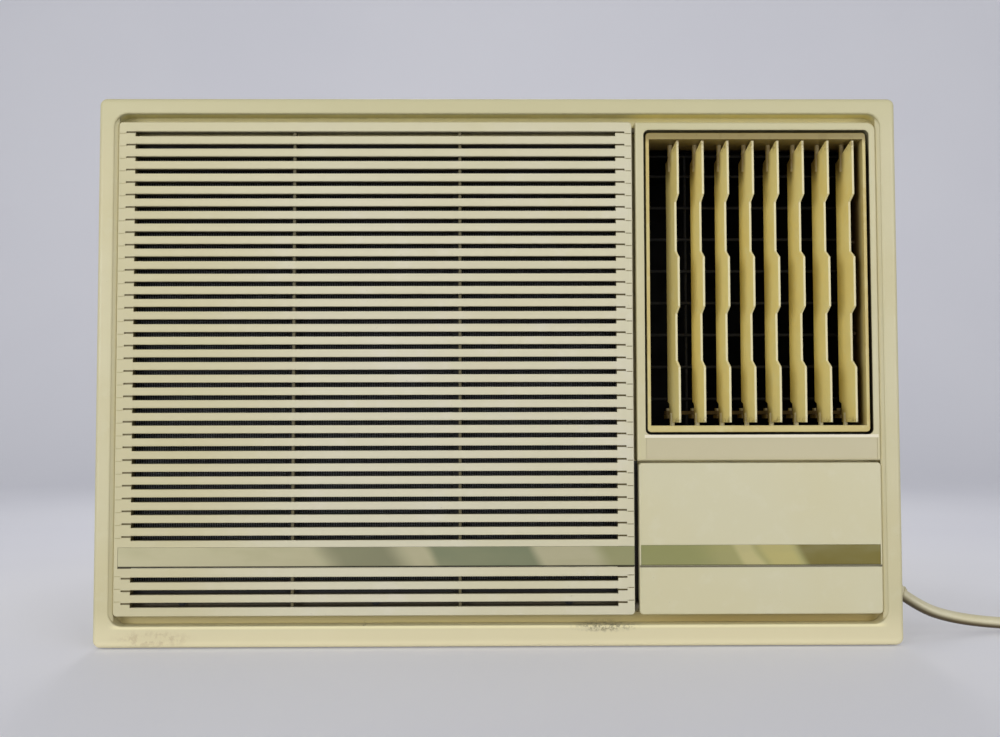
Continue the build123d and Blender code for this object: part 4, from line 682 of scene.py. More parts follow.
IVORY_GRILLE = Moulding(
    "ivory_grille",
    base=paint(212, 206, 178),
    warm=paint(206, 198, 160),
    pale=paint(217, 211, 192),
    patch=5.0,
    amount=0.5,
    effects=(
        # Painted shade in the slot-end grooves and the border's step lines.
        Recess(-0.3388, 0.0008, RIB_SHADE, (-0.3085, 0.0, 0.0), (-0.2995, 0.0, 1.0)),
        Recess(-0.3388, 0.0008, RIB_SHADE, (0.0965, 0.0, 0.0), (0.1055, 0.0, 1.0)),
        Recess(-0.33895, 0.0005, EDGE_SHADE, (-0.3130, 0.0, 0.0), (-0.3085, 0.0, 1.0)),
        Recess(-0.33895, 0.0005, EDGE_SHADE, (0.1055, 0.0, 0.0), (0.1100, 0.0, 1.0)),
        # Painted shade on the slot walls and, deeper, behind the slats.
        Recess(-0.3372, 0.0016, paint(94, 86, 56)),
        Recess(-0.3362, 0.006, paint(64, 53, 28), (-0.3008, 0.0, 0.0), (0.0978, 0.0, 1.0)),
        GrimeAndLightPatch((-0.330, -0.339, 0.24), (0.200, 0.0014, 0.60), paint(198, 189, 146), 0.85, 9.0, 0.9),
        GrimeAndLightPatch((-0.100, -0.339, 0.46), (0.400, 0.0014, 0.13), paint(204, 196, 156), 0.7, 9.0, 0.8),
    ),
)
IVORY_DOOR = Moulding(
    "ivory_door",
    base=paint(209, 203, 169),
    warm=paint(207, 198, 156),
    pale=paint(214, 209, 181),
    # Painted shadow in a line under the strip.
    effects=(painted_light_band((0.214, -0.340, 0.0656), (1.0, 0.003, 0.0016), paint(58, 50, 22), 0.95),),
)
YELLOWED_FRAME = Moulding(
    "yellowed_frame",
    base=paint(204, 188, 124),
    warm=paint(194, 170, 98),
    pale=paint(214, 202, 150),
    patch=14.0,
    amount=0.6,
    effects=(
        # Painted shade on the frame's inner walls.
        Recess(-0.3366, 0.016, paint(76, 58, 26)),
        # Painted shadow over the top bar, under the outlet's top edge.
        GrimeAndLightPatch((0.214, -0.330, 0.4215), (0.280, 0.05, 0.0085), paint(136, 119, 68), 1.0, 90.0, 0.92),
        GrimeAndLightPatch((0.214, -0.318, 0.1840), (0.100, 0.03, 0.0080), paint(120, 98, 50), 0.5, 160.0),
    ),
)
YELLOWED_BLADE = Moulding(
    "yellowed_blade",
    base=paint(238, 222, 146),
    warm=paint(234, 212, 124),
    pale=paint(236, 225, 160),
    patch=14.0,
    amount=0.6,
    smooth=0.5,
    dull=0.65,
    specular=0.2,
    effects=(
        # Painted light: the blades turn more golden further back.
        Recess(-0.326, 0.030, paint(242, 220, 124)),
        # Painted highlight on the front edges.
        Facing((0.0, -1.0, 0.0), paint(226, 216, 172)),
        # Painted shade at the blades' tops and feet, by the frame's bars.
        GrimeAndLightPatch((0.214, -0.335, 0.4170), (0.300, 0.03, 0.0100), paint(112, 86, 40), 0.6, 260.0, 0.25),
        GrimeAndLightPatch((0.214, -0.312, 0.4080), (0.600, 0.013, 0.0300), paint(112, 88, 38), 1.0, 160.0, 0.9),
        GrimeAndLightPatch((0.214, -0.306, 0.1870), (0.400, 0.018, 0.0150), paint(104, 82, 36), 1.0, 160.0, 0.9),
        GrimeAndLightPatch((0.214, -0.335, 0.1820), (0.300, 0.03, 0.0070), paint(104, 80, 38), 0.6, 260.0, 0.2),
    ),
)
# Dark brown that paints the shade the link lies in.
LINK_PAINTED_SHADE = Moulding(
    "link_painted_shade",
    base=paint(92, 74, 38),
    warm=paint(70, 55, 27),
    pale=paint(112, 92, 50),
    smooth=0.55,
    dull=0.75,
    patch=40.0,
    amount=0.7,
    specular=0.2,
)
CORD_CREAM = Moulding(
    "cream_sheath",
    base=paint(214, 206, 172),
    warm=paint(202, 190, 146),
    pale=paint(224, 218, 194),
    patch=22.0,
    smooth=0.30,
    dull=0.44,
    # Painted shade on the cord's underside.
    effects=(Facing((0.0, -0.35, -0.937), paint(80, 64, 28)),),
)
# Black moulding, dark also to paint the deep shade behind the blades.
DUCT_DARK = Moulding(
    "dark_duct",
    base=paint(15, 14, 13),
    warm=paint(13, 11, 9),
    pale=paint(22, 20, 18),
    smooth=0.7,
    dull=0.95,
    dust=0.05,
    specular=0.12,
)
FAN_DARK = Moulding(
    "dark_fan",
    base=paint(52, 52, 52),
    warm=paint(46, 44, 42),
    pale=paint(72, 71, 68),
    dust=0.30,
)
KNOB_BROWN = Moulding(
    "brown_knob",
    base=paint(84, 70, 52),
    warm=paint(76, 60, 42),
    pale=paint(98, 84, 64),
    smooth=0.22,
    dull=0.34,
    relief=0.04,
)
PLATE_IVORY = Moulding(
    "control_plate",
    base=paint(196, 188, 156),
    warm=paint(190, 178, 140),
    pale=paint(204, 198, 172),
    grain=2600.0,
    relief=0.22,
)
RUBBER_BLACK = Moulding(
    "black_rubber",
    base=paint(34, 33, 32),
    warm=paint(42, 40, 36),
    pale=paint(54, 52, 50),
    smooth=0.55,
    dull=0.75,
    dust=0.2,
)
# Near-black filter, dark also to paint the shade seen through the slots.
FILTER_DARK = Moulding(
    "dark_filter",
    base=paint(12, 12, 11),
    warm=paint(15, 13, 11),
    pale=paint(19, 18, 15),
    smooth=0.6,
    dull=0.7,
)
PRINT = Moulding(
    "dial_print",
    base=paint(58, 50, 38),
    warm=paint(64, 54, 40),
    pale=paint(76, 66, 50),
    relief=0.02,
)
CASE_ENAMEL = SheetMetal(
    "case_enamel",
    base=paint(206, 200, 172),
    dark=paint(194, 186, 152),
    smooth=0.32,
    dull=0.46,
    spangle=160.0,
    relief=0.10,
    dust=0.12,
)
ZINC = SheetMetal(
    "zinc_sheet",
    base=paint(186, 188, 188),
    dark=paint(134, 138, 140),
    metallic=0.9,
    smooth=0.30,
    dull=0.48,
    amount=0.9,
    dust=0.35,
)
BLACK_ENAMEL = SheetMetal(
    "black_enamel",
    base=paint(26, 26, 28),
    dark=paint(40, 38, 36),
    smooth=0.26,
    dull=0.44,
    spangle=60.0,
    dust=0.30,
)
MOTOR_GREY = SheetMetal(
    "motor_grey",
    base=paint(112, 115, 118),
    dark=paint(92, 94, 96),
    dull=0.5,
    dust=0.35,
)
# Black felt on the bulkhead, dark also to paint the shade inside the unit.
FELT_AND_SHADE_SHEET = SheetMetal(
    "felt_and_shade_sheet",
    base=paint(44, 44, 43),
    dark=paint(58, 57, 54),
    smooth=0.6,
    dull=0.85,
    spangle=220.0,
    relief=0.3,
    dust=0.05,
)
GUARD_BLACK = SheetMetal(
    "guard_black",
    base=paint(26, 26, 26),
    dark=paint(38, 36, 33),
    smooth=0.45,
    dull=0.6,
    dust=0.12,
)
# Near-black guard, dark also to paint the shade behind the blades.
DUCT_GUARD = SheetMetal(
    "duct_guard",
    base=paint(13, 12, 11),
    dark=paint(20, 18, 15),
    smooth=0.7,
    dull=0.85,
    dust=0.05,
)
COPPER = BareMetal("copper_tube", paint(206, 134, 96), paint(136, 84, 58))
BRONZE = BareMetal("bearing_bronze", paint(176, 140, 86), paint(120, 92, 54))
BRASS = BareMetal("pin_brass", paint(216, 184, 112), paint(176, 146, 84), amount=0.4)
STEEL = BareMetal("bright_steel", paint(172, 173, 174), paint(128, 128, 128))
CAN_ALUMINIUM = BareMetal(
    "can_aluminium",
    bright=paint(198, 200, 202),
    dull_colour=paint(158, 160, 160),
    smooth=0.26,
    dull=0.42,
    scale=14.0,
)
FIN_ALUMINIUM = BareMetal(
    "fin_aluminium",
    bright=paint(212, 214, 216),
    dull_colour=paint(174, 174, 170),
    smooth=0.36,
    dull=0.55,
    scale=12.0,
    amount=0.4,
    metallic=0.35,
)
GRILLE_FOIL = Foil(
    "grille_foil",
    base=paint(180, 174, 140),
    # Painted reflections.
    gleams=(
        Gleam(-0.139, -0.083, paint(134, 133, 103), 0.012),
        Gleam(-0.056, 0.034, paint(126, 131, 101), 0.005),
        Gleam(0.080, 0.130, paint(150, 149, 106), 0.010),
    ),
)
DOOR_FOIL = Foil(
    "door_foil",
    base=paint(145, 145, 93),
    # Painted reflections.
    gleams=(
        Gleam(0.170, 0.250, paint(158, 154, 100), 0.014),
        Gleam(0.196, 0.214, paint(186, 177, 124), 0.004),
        Gleam(0.219, 0.243, paint(178, 168, 108), 0.005),
        Gleam(0.247, 0.330, paint(116, 106, 50), 0.004),
    ),
)


class RepeatTrees(Trees):
    """Trees that repeat a piece along a row or round a centre."""

    kind = "GeometryNodeTree"

    def close(self, graph: Graph, given: Any, out: Any, places: dict[str, Any], **changes: Any) -> None:
        """Put the piece on a line of points and end in real geometry with its material.

        Args:
            graph: The tree's graph.
            given: The input node's sockets.
            out: The output node's sockets.
            places: Start and step of the line of points.
            **changes: What differs from point to point, by input name.
        """
        line = graph.node("GeometryNodeMeshLine", {"Count": given["Count"]} | places, mode="OFFSET")
        inputs = {"Points": line.outputs[0], "Instance": given["Piece"]}
        inputs |= {key.title(): value for key, value in changes.items()}
        made = graph.node("GeometryNodeInstanceOnPoints", inputs).outputs[0]
        real = graph.node("GeometryNodeRealizeInstances", {0: made}).outputs[0]
        inputs = {"Geometry": real, "Material": given["Finish"]}
        graph.feed(out["Geometry"], graph.node("GeometryNodeSetMaterial", inputs).outputs[0])

    def build_row(self) -> None:
        """Copies of the piece along a straight row, each a little larger or smaller."""
        graph, given, out = self.open("row", "Piece Count Start Step Growth Finish", "Geometry")
        index = graph.node("GeometryNodeInputIndex").outputs[0]
        size = graph.math("ADD", graph.times(index, given["Growth"]), 1.0)
        places = {"Start Location": given["Start"], "Offset": given["Step"]}
        self.close(graph, given, out, places, scale=size)

    def build_ring(self) -> None:
        """Copies of the piece turned about a centre on the Y axis."""
        graph, given, out = self.open("ring", "Piece Count Centre First Turn Finish", "Geometry")
        index = graph.node("GeometryNodeInputIndex").outputs[0]
        angle = graph.math("ADD", graph.times(index, given["Turn"]), given["First"])
        turn = graph.node("ShaderNodeCombineXYZ", {"Y": angle}).outputs[0]
        places = {"Start Location": given["Centre"], "Offset": (0.0, 0.0, 0.0)}
        self.close(graph, given, out, places, rotation=turn)

    def run(self, name: str, piece: Object, **inputs: Any) -> Object:
        """Repeat a piece and keep the result as its plain mesh.

        Args:
            name: Which tree.
            piece: The object whose mesh is repeated.
            **inputs: Values by input name; those left out are nought.

        Returns:
            The same object, holding the whole row.
        """
        modifier = piece.modifiers.new(name, "NODES")
        modifier.node_group = self.get(name)
        for item in modifier.node_group.interface.items_tree:
            if item.in_out == "INPUT" and item.name.lower() in inputs:
                modifier[item.identifier] = inputs[item.name.lower()]
        graph = bpy.context.evaluated_depsgraph_get()
        mesh = bpy.data.meshes.new_from_object(piece.evaluated_get(graph))
        piece.modifiers.clear()
        piece.data = mesh
        return piece


REPEATS = RepeatTrees()


def link(name: str, data: Any) -> Object:
    """Put new data into the scene.

    Args:
        name: The object's name.
        data: Its mesh, curve, camera or light.

    Returns:
        The new object.
    """
    made = bpy.data.objects.new(name, data)
    bpy.context.scene.collection.objects.link(made)
    return made


def show(name: str, mesh: BMesh, smooth: bool = False) -> Object:
    """Turn an edit mesh into an object of the scene.

    Args:
        name: The object's name.
        mesh: The edit mesh, which is freed.
        smooth: Whether its faces are shaded smooth.

    Returns:
        The new object.
    """
    bmesh.ops.recalc_face_normals(mesh, faces=mesh.faces)
    data = bpy.data.meshes.new(name)
    mesh.to_mesh(data)
    mesh.free()
    for face in data.polygons:
        face.use_smooth = smooth
    return link(name, data)


def skin(mesh: BMesh, loops: list[Any], closed: bool = False) -> None:
    """Join loops of corners with faces, each loop to the next.

    Args:
        mesh: The edit mesh.
        loops: Loops of vertices, all with the same count.
        closed: Whether the last loop joins the first. Otherwise both ends are capped.
    """
    following = loops[1:] + loops[:1] if closed else loops[1:]
    for here, there in zip(loops, following):
        for place, corner in enumerate(here):
            after = (place + 1) % len(here)
            mesh.faces.new((corner, here[after], there[after], there[place]))
    if not closed:
        mesh.faces.new(loops[0])
        mesh.faces.new(loops[-1])


def corrugated_fin(thick: float, deep: float, tall: float, wave: float, folds: int) -> BMesh:
    """One thin fin that zigzags across its depth.

    Args:
        thick: Sheet thickness, along X.
        deep: Depth, along Y from 0.
        tall: Height, along Z from 0.
        wave: How far the folds stand out.
        folds: How many straight runs across the depth.

    Returns:
        The fin as a closed edit mesh.
    """
    mesh = bmesh.new()
    rows = []
    for step in range(folds + 1):
        near = wave if step % 2 else 0.0
        far = near + thick
        y = deep * step / folds
        corners = ((near, 0.0), (far, 0.0), (far, tall), (near, tall))
        rows.append([mesh.verts.new((x, y, z)) for x, z in corners])
    skin(mesh, rows)
    return mesh


def block(size: Point, centre: Point = (0.0, 0.0, 0.0), edge: float = 0.0) -> BMesh:
    """A box with softened edges.

    Args:
        size: Lengths along the three axes.
        centre: Its middle.
        edge: Width of the edge bevel.

    Returns:
        The edit mesh.
    """
    mesh = bmesh.new()
    bmesh.ops.create_cube(mesh, size=1.0)
    bmesh.ops.scale(mesh, vec=size, verts=mesh.verts)
    bmesh.ops.translate(mesh, vec=centre, verts=mesh.verts)
    if edge:
        bmesh.ops.bevel(mesh, geom=mesh.edges[:], offset=edge, segments=2, affect="EDGES", profile=0.5)
    return mesh


def tube(radius: float, length: float, sides: int = 16) -> BMesh:
    """A round rod along X, from 0 to its length.

    Args:
        radius: Its radius.
        length: Its length.
        sides: Steps round it.

    Returns:
        The edit mesh.
    """
    mesh = bmesh.new()
    turn = Matrix.Translation((length / 2, 0.0, 0.0)) @ Matrix.Rotation(math.pi / 2, 4, "Y")
    ends = {"radius1": radius, "radius2": radius, "cap_ends": True}
    bmesh.ops.create_cone(mesh, segments=sides, depth=length, matrix=turn, **ends)
    return mesh


def round_ring(radius: float, thick: float, sides: int = 28, section: int = 8) -> BMesh:
    """A round ring about the X axis.

    Args:
        radius: Radius of its middle line.
        thick: Radius of its section.
        sides: Steps round the ring.
        section: Steps round the section.

    Returns:
        The edit mesh.
    """
    mesh = bmesh.new()
    loops = []
    for step in range(sides):
        turn = 2 * math.pi * step / sides
        loop = []
        for corner in range(section):
            lean = 2 * math.pi * corner / section
            reach = radius + thick * math.cos(lean)
            place = (thick * math.sin(lean), reach * math.cos(turn), reach * math.sin(turn))
            loop.append(mesh.verts.new(place))
        loops.append(loop)
    skin(mesh, loops, closed=True)
    return mesh


@dataclass
class Assembly:
    """Sub-assembly of the unit, with the wardrobe that its finishes come from."""

    wardrobe: Wardrobe

    def build(self) -> None:
        """Dress the solids of the sub-assembly and add its loose pieces."""
        raise NotImplementedError


@dataclass
class Cabinet(Assembly):
    """Steel case that stays in the wall: wrap, floor, rear guard, rails and screws."""

    def build(self) -> None:
        """Dress the case."""
        self.wardrobe.dress(CASE_ENAMEL, "outer_case", "case_base")
        self.wardrobe.dress(GUARD_BLACK, "rear_guard")
        self.wardrobe.dress(ZINC, "case_rails")
        self.wardrobe.dress(STEEL, "case_screws")


@dataclass
class FrontPanel(Assembly):
    """Moulded front with its rim, bays, duct and fixing screws."""

    rim: float = 0.317
    lip_front: float = -0.339
    lip_wide: float = 0.003
    lip_slope: float = 0.0025
    lip_deep: float = 0.0033
    lip_span: tuple[float, float] = (0.0215, 0.4360)

    def build(self) -> None:
        """Dress the panel and add its side lips."""
        self.wardrobe.dress(IVORY, "front_panel")
        # Black screws, dark also to vanish in the painted shade of the bay floor.
        self.wardrobe.dress(GUARD_BLACK, "panel_screws")
        self.lips()

    def lips(self) -> None:
        """Make the sloped lips inside the rim's two sides."""
        mesh = bmesh.new()
        back = self.lip_front + self.lip_deep
        sloped = self.lip_front + self.lip_slope
        for outer in (-self.rim, self.rim):
            inner = math.copysign(self.rim - self.lip_wide, outer)
            section = ((outer, self.lip_front), (inner, sloped), (inner, back), (outer, back))
            skin(mesh, [[mesh.verts.new((x, y, z)) for x, y in section] for z in self.lip_span])
        lips = show("rim_lips", mesh)
        lips.data.materials.append(self.wardrobe.material(IVORY))
        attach(lips, "chassis")
        LOG.info("rim_lips is made")


@dataclass
class IntakeGrille(Assembly):
    """Swing-up grille with its strip and the filter behind its slats."""

    pitch: float = 0.0014
    thread: float = 0.00045
    apart: float = 0.15

    def build(self) -> None:
        """Dress the grille and weave its filter net."""
        self.wardrobe.dress(IVORY_GRILLE, "intake_grille")
        self.wardrobe.dress(GRILLE_FOIL, "grille_strip")
        self.wardrobe.dress(FILTER_DARK, "filter_frame")
        self.weave()

    def weave(self) -> None:
        """Make the crossed threads of the filter net in the place of its sheet."""
        low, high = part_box("filter_net")
        wide, tall = high.x - low.x, high.z - low.z
        middle = (low.y + high.y) / 2
        material = self.wardrobe.material(FILTER_DARK)
        across = int(tall / self.pitch)
        upright = int(wide / self.pitch)
        level = block((wide, self.thread, self.thread), (wide / 2, 0.0, 0.0))
        plumb = block((self.thread, self.thread, tall), (0.0, 0.0, tall / 2))
        rows = (
            ("filter_weft", level, across, (0.0, 0.0, tall / across), -self.apart),
            ("filter_warp", plumb, upright, (wide / upright, 0.0, 0.0), self.apart),
        )
        for name, mesh, count, step, lean in rows:
            start = (low.x + step[0] / 2, middle + lean * self.thread, low.z + step[2] / 2)
            net = REPEATS.run("row", show(name, mesh), count=count, start=start, step=step, finish=material)
            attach(net, "grille")
            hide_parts("filter_net")
            LOG.info("%s has %d threads", name, count)


class Lines(Enum):
    """Kinds of line on a dial: the marks round it, or the pointer on its grip."""

    MARKS = "marks"
    POINTER = "pointer"


@dataclass(frozen=True)
class Dial:
    """One knob and the marks round it, with angles in degrees from upright."""

    body: str
    across: float
    marks: int
    first: float
    turn: float
    pointing: float


@dataclass
class ControlDeck(Assembly):
    """Door with its strip, and the plate, knobs and switches behind it."""

    dials: tuple[Dial, ...] = (
        Dial("thermostat", across=0.1615, marks=11, first=-135.0, turn=27.0, pointing=0.0),
        Dial("selector", across=0.2245, marks=7, first=-35.0, turn=30.0, pointing=-35.0),
    )
    height: float = 0.0941
    plate_front: float = -0.290
    grip_front: float = -0.3086
    mark_size: Point = (0.0009, 0.0004, 0.0045)
    mark_radius: float = 0.0245
    line_size: Point = (0.0016, 0.0004, 0.0090)
    line_radius: float = 0.0110
    edge: float = 0.0001

    def build(self) -> None:
        """Dress the door and the controls, and mark the dials and the knobs."""
        self.wardrobe.dress(IVORY_DOOR, "control_door")
        self.wardrobe.dress(DOOR_FOIL, "door_strip")
        self.wardrobe.dress(PLATE_IVORY, "control_plate")
        self.wardrobe.dress(KNOB_BROWN, "thermostat_knob", "selector_knob", "vent_pull")
        self.wardrobe.dress(FAN_DARK, "control_switches")
        self.wardrobe.dress(ZINC, "control_box", "vent_flap")
        self.wardrobe.dress(CAN_ALUMINIUM, "run_capacitor")
        for dial in self.dials:
            ring = self.ring(dial, Lines.MARKS, self.wardrobe.material(PRINT))
            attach(ring, "chassis")
            pointer = self.ring(dial, Lines.POINTER, self.wardrobe.material(PLATE_IVORY))
            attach(pointer, dial.body)
            LOG.info("%s has %d marks and its pointer", dial.body, dial.marks)

    def ring(self, dial: Dial, kind: Lines, material: Material) -> Object:
        """Lay one kind of line on a dial.

        Args:
            dial: Which dial.
            kind: Which kind of line.
            material: Finish of the lines.

        Returns:
            The lines as one piece.
        """
        marks = kind is Lines.MARKS
        size = self.mark_size if marks else self.line_size
        radius = self.mark_radius if marks else self.line_radius
        front = self.plate_front if marks else self.grip_front
        return REPEATS.run(
            "ring",
            show(f"{dial.body}_{kind.value}", block(size, (0.0, 0.0, radius), self.edge)),
            count=dial.marks if marks else 1,
            centre=(dial.across, front, self.height),
            first=math.radians(dial.first if marks else dial.pointing),
            turn=math.radians(dial.turn),
            finish=material,
        )


@dataclass
class Louvre(Assembly):
    """Tilting outlet frame, its upright blades, their link and the guard behind."""

    blades: int = 8

    def build(self) -> None:
        """Dress the louvre."""
        names = [f"louvre_blade_{place + 1}" for place in range(self.blades)]
        self.wardrobe.dress(YELLOWED_FRAME, "louvre_frame")
        self.wardrobe.dress(YELLOWED_BLADE, *names)
        self.wardrobe.dress(LINK_PAINTED_SHADE, "blade_link")
        self.wardrobe.dress(DUCT_GUARD, "wire_guard")


@dataclass(frozen=True)
class Coil:
    """One finned coil and its row of tubes."""

    node: str
    label: str
    tube_depth: float
    tube_low: float


@dataclass
class CoolingCircuit(Assembly):
    """Both coils, the compressor and the pipes between them."""

    coils: tuple[Coil, ...] = (
        Coil("evaporator_fins", "cold", tube_depth=0.013, tube_low=0.008),
        Coil("condenser_fins", "hot", tube_depth=0.019, tube_low=0.016),
    )
    fin_pitch: float = 0.0019
    fin_thick: float = 0.00022
    fin_wave: float = 0.0016
    folds: int = 12
    tube_radius: float = 0.0044
    tube_step: float = 0.022
    tube_count: int = 16

    def build(self) -> None:
        """Dress the circuit and fill both coils with fins and tubes."""
        self.wardrobe.dress(ZINC, "coil_plates")
        self.wardrobe.dress(COPPER, "coil_bends", "capillary_tube")
        self.wardrobe.dress(COPPER, "discharge_pipe", "suction_line", "liquid_line")
        self.wardrobe.dress(BLACK_ENAMEL, "compressor")
        self.wardrobe.dress(RUBBER_BLACK, "compressor_grommets")
        self.wardrobe.dress(STEEL, "compressor_studs")
        for coil in self.coils:
            self.fill(coil)

    def fill(self, coil: Coil) -> None:
        """Make the fins and tubes of one coil in the place of its block.

        Args:
            coil: Which coil.
        """
        low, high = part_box(coil.node)
        wide, deep, tall = high - low
        count = int((wide - self.fin_wave) / self.fin_pitch)
        step = (wide - self.fin_wave - self.fin_thick) / (count - 1)
        fin = corrugated_fin(self.fin_thick, deep, tall, self.fin_wave, self.folds)
        fins = REPEATS.run(
            "row",
            show(coil.label + "_fins", fin),
            count=count,
            start=tuple(low),
            step=(step, 0.0, 0.0),
            finish=self.wardrobe.material(FIN_ALUMINIUM),
        )
        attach(fins, "chassis")
        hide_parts(coil.node)
        LOG.info("%s_fins has %d fins", coil.label, count)
        tubes = REPEATS.run(
            "row",
            show(coil.label + "_tubes", tube(self.tube_radius, wide), True),
            count=self.tube_count,
            start=(low.x, low.y + coil.tube_depth, low.z + coil.tube_low),
            step=(0.0, 0.0, self.tube_step),
            finish=self.wardrobe.material(COPPER),
        )
        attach(tubes, "chassis")
        LOG.info("%s_tubes has %d tubes", coil.label, self.tube_count)


@dataclass
class AirMover(Assembly):
    """Base pan, bulkhead, motor, blower, propeller and the ducts round them."""

    def build(self) -> None:
        """Dress the chassis and the fans."""
        self.wardrobe.dress(ZINC, "base_pan", "fan_shroud", "motor_bracket")
        self.wardrobe.dress(FELT_AND_SHADE_SHEET, "bulkhead")
        self.wardrobe.dress(DUCT_DARK, "blower_scroll", "drain_spout")
        self.wardrobe.dress(MOTOR_GREY, "motor_shell")
        self.wardrobe.dress(BRONZE, "motor_bearings")
        self.wardrobe.dress(STEEL, "motor_shaft")
        self.wardrobe.dress(FAN_DARK, "blower_wheel", "propeller_fan")


@dataclass
class MainsLead(Assembly):
    """Cord from its gland down to the ground, its put-away coil, tie and plug."""

    radius: float = 0.005
    route: tuple[Point, ...] = (
        (0.34966, -0.284, 0.03323),
        (0.36645, -0.284, 0.02148),
        (0.392, -0.280, 0.0132),
        (0.422, -0.276, 0.0082),
        (0.456, -0.277, 0.0062),
        (0.493, -0.286, 0.0060),
        (0.534, -0.303, 0.0060),
    )
    coil_centre: float = 0.570
    coil_front: float = -0.303
    coil_radii: tuple[float, ...] = (0.0680, 0.0627, 0.0574, 0.0521, 0.0468, 0.0521, 0.0574, 0.0627)
    climb: int = 4
    low: float = 0.0060
    rise: float = 0.0106
    tail: tuple[float, ...] = (0.012, 0.0276, 0.046)
    steps: int = 7
    spread: float = 1.0257
    gland: Point = (0.330, -0.284, 0.047)
    gland_tilt: float = 35.0
    rib_count: int = 5
    rib_radius: float = 0.0078
    rib_thick: float = 0.0009
    rib_first: float = 0.0065
    rib_step: float = 0.0038
    rib_growth: float = -0.05

    def points(self) -> list[Point]:
        """Give the cord's points: down from the gland, round the coil and out to the plug.

        Returns:
            The control points of the cord's line.
        """
        points = list(self.route)
        start = self.coil_front
        way = 1.0
        for half, radius in enumerate(self.coil_radii):
            middle = start + way * radius
            for step in range(self.steps):
                share = (step + 0.5) / self.steps
                turn = math.radians(-90.0 + 180.0 * (half + share))
                lift = 0.0 if half < self.climb else 1.0
                if half == self.climb:
                    lift = share * share * (3.0 - 2.0 * share)
                reach = radius * self.spread
                x = self.coil_centre + reach * math.cos(turn)
                y = middle + reach * math.sin(turn)
                points.append((x, y, self.low + self.rise * lift))
            start = middle + way * radius
            way = -way
        for reach in self.tail:
            points.append((self.coil_centre + reach, start, self.low + self.rise))
        return points

    def build(self) -> None:
        """Lay the cord and dress what is on it."""
        self.wardrobe.dress(CORD_CREAM, "cord_gland", "power_plug")
        self.wardrobe.dress(RUBBER_BLACK, "cord_tie")
        self.wardrobe.dress(BRASS, "plug_pins")
        cord = self.lay()
        length = self.measure(cord)
        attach(cord, "chassis")
        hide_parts("power_cord", "cord_coil")
        self.ribs()
        LOG.info("mains_cord is %.3f m long", length)

    def lay(self) -> Object:
        """Make the cord as one smooth line with a round section.

        Returns:
            The cord.
        """
        curve = bpy.data.curves.new("mains_cord", "CURVE")
        curve.dimensions = "3D"
        spline = curve.splines.new("NURBS")
        points = self.points()
        spline.points.add(len(points) - 1)
        for place, point in zip(spline.points, points):
            place.co = (*point, 1.0)
        spline.order_u = 3
        spline.use_endpoint_u = True
        spline.resolution_u = 6
        curve.bevel_depth = self.radius
        curve.bevel_resolution = 6
        curve.use_fill_caps = True
        curve.materials.append(self.wardrobe.material(CORD_CREAM))
        return link("mains_cord", curve)

    def measure(self, cord: Object) -> float:
        """Give the length of the cord's own line.

        Args:
            cord: The cord.

        Returns:
            Its length.
        """
        total = 0.0
        curve = cord.data
        curve.bevel_depth = 0.0
        curve.use_fill_caps = False
        graph = bpy.context.evaluated_depsgraph_get()
        line = bpy.data.meshes.new_from_object(cord.evaluated_get(graph))
        for edge in line.edges:
            first, second = (line.vertices[place].co for place in edge.vertices)
            total += (second - first).length
        bpy.data.meshes.remove(line)
        curve.bevel_depth = self.radius
        curve.use_fill_caps = True
        return total

    def ribs(self) -> None:
        """Put rounded ribs along the tapered gland."""
        turn = Matrix.Rotation(math.radians(self.gland_tilt), 4, "Y")
        along = turn @ Vector((1.0, 0.0, 0.0))
        mesh = round_ring(self.rib_radius, self.rib_thick)
        bmesh.ops.transform(mesh, matrix=turn, verts=mesh.verts)
        ribs = REPEATS.run(
            "row",
            show("gland_ribs", mesh, True),
            count=self.rib_count,
            start=tuple(Vector(self.gland) + along * self.rib_first),
            step=tuple(along * self.rib_step),
            growth=self.rib_growth,
            finish=self.wardrobe.material(CORD_CREAM),
        )
        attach(ribs, "chassis")
        LOG.info("gland_ribs has %d ribs", self.rib_count)


def facing_along(place: Point, way: Point) -> Matrix:
    """Give the place of a camera or lamp that looks along a direction."""
    return Matrix.Translation(place) @ Vector(way).to_track_quat("-Z", "Y").to_matrix().to_4x4()


@dataclass(frozen=True)
class Lamp:
    """One soft lamp that looks at the unit."""

    name: str
    place: Point
    size: float
    power: float
    spread: float = 90.0


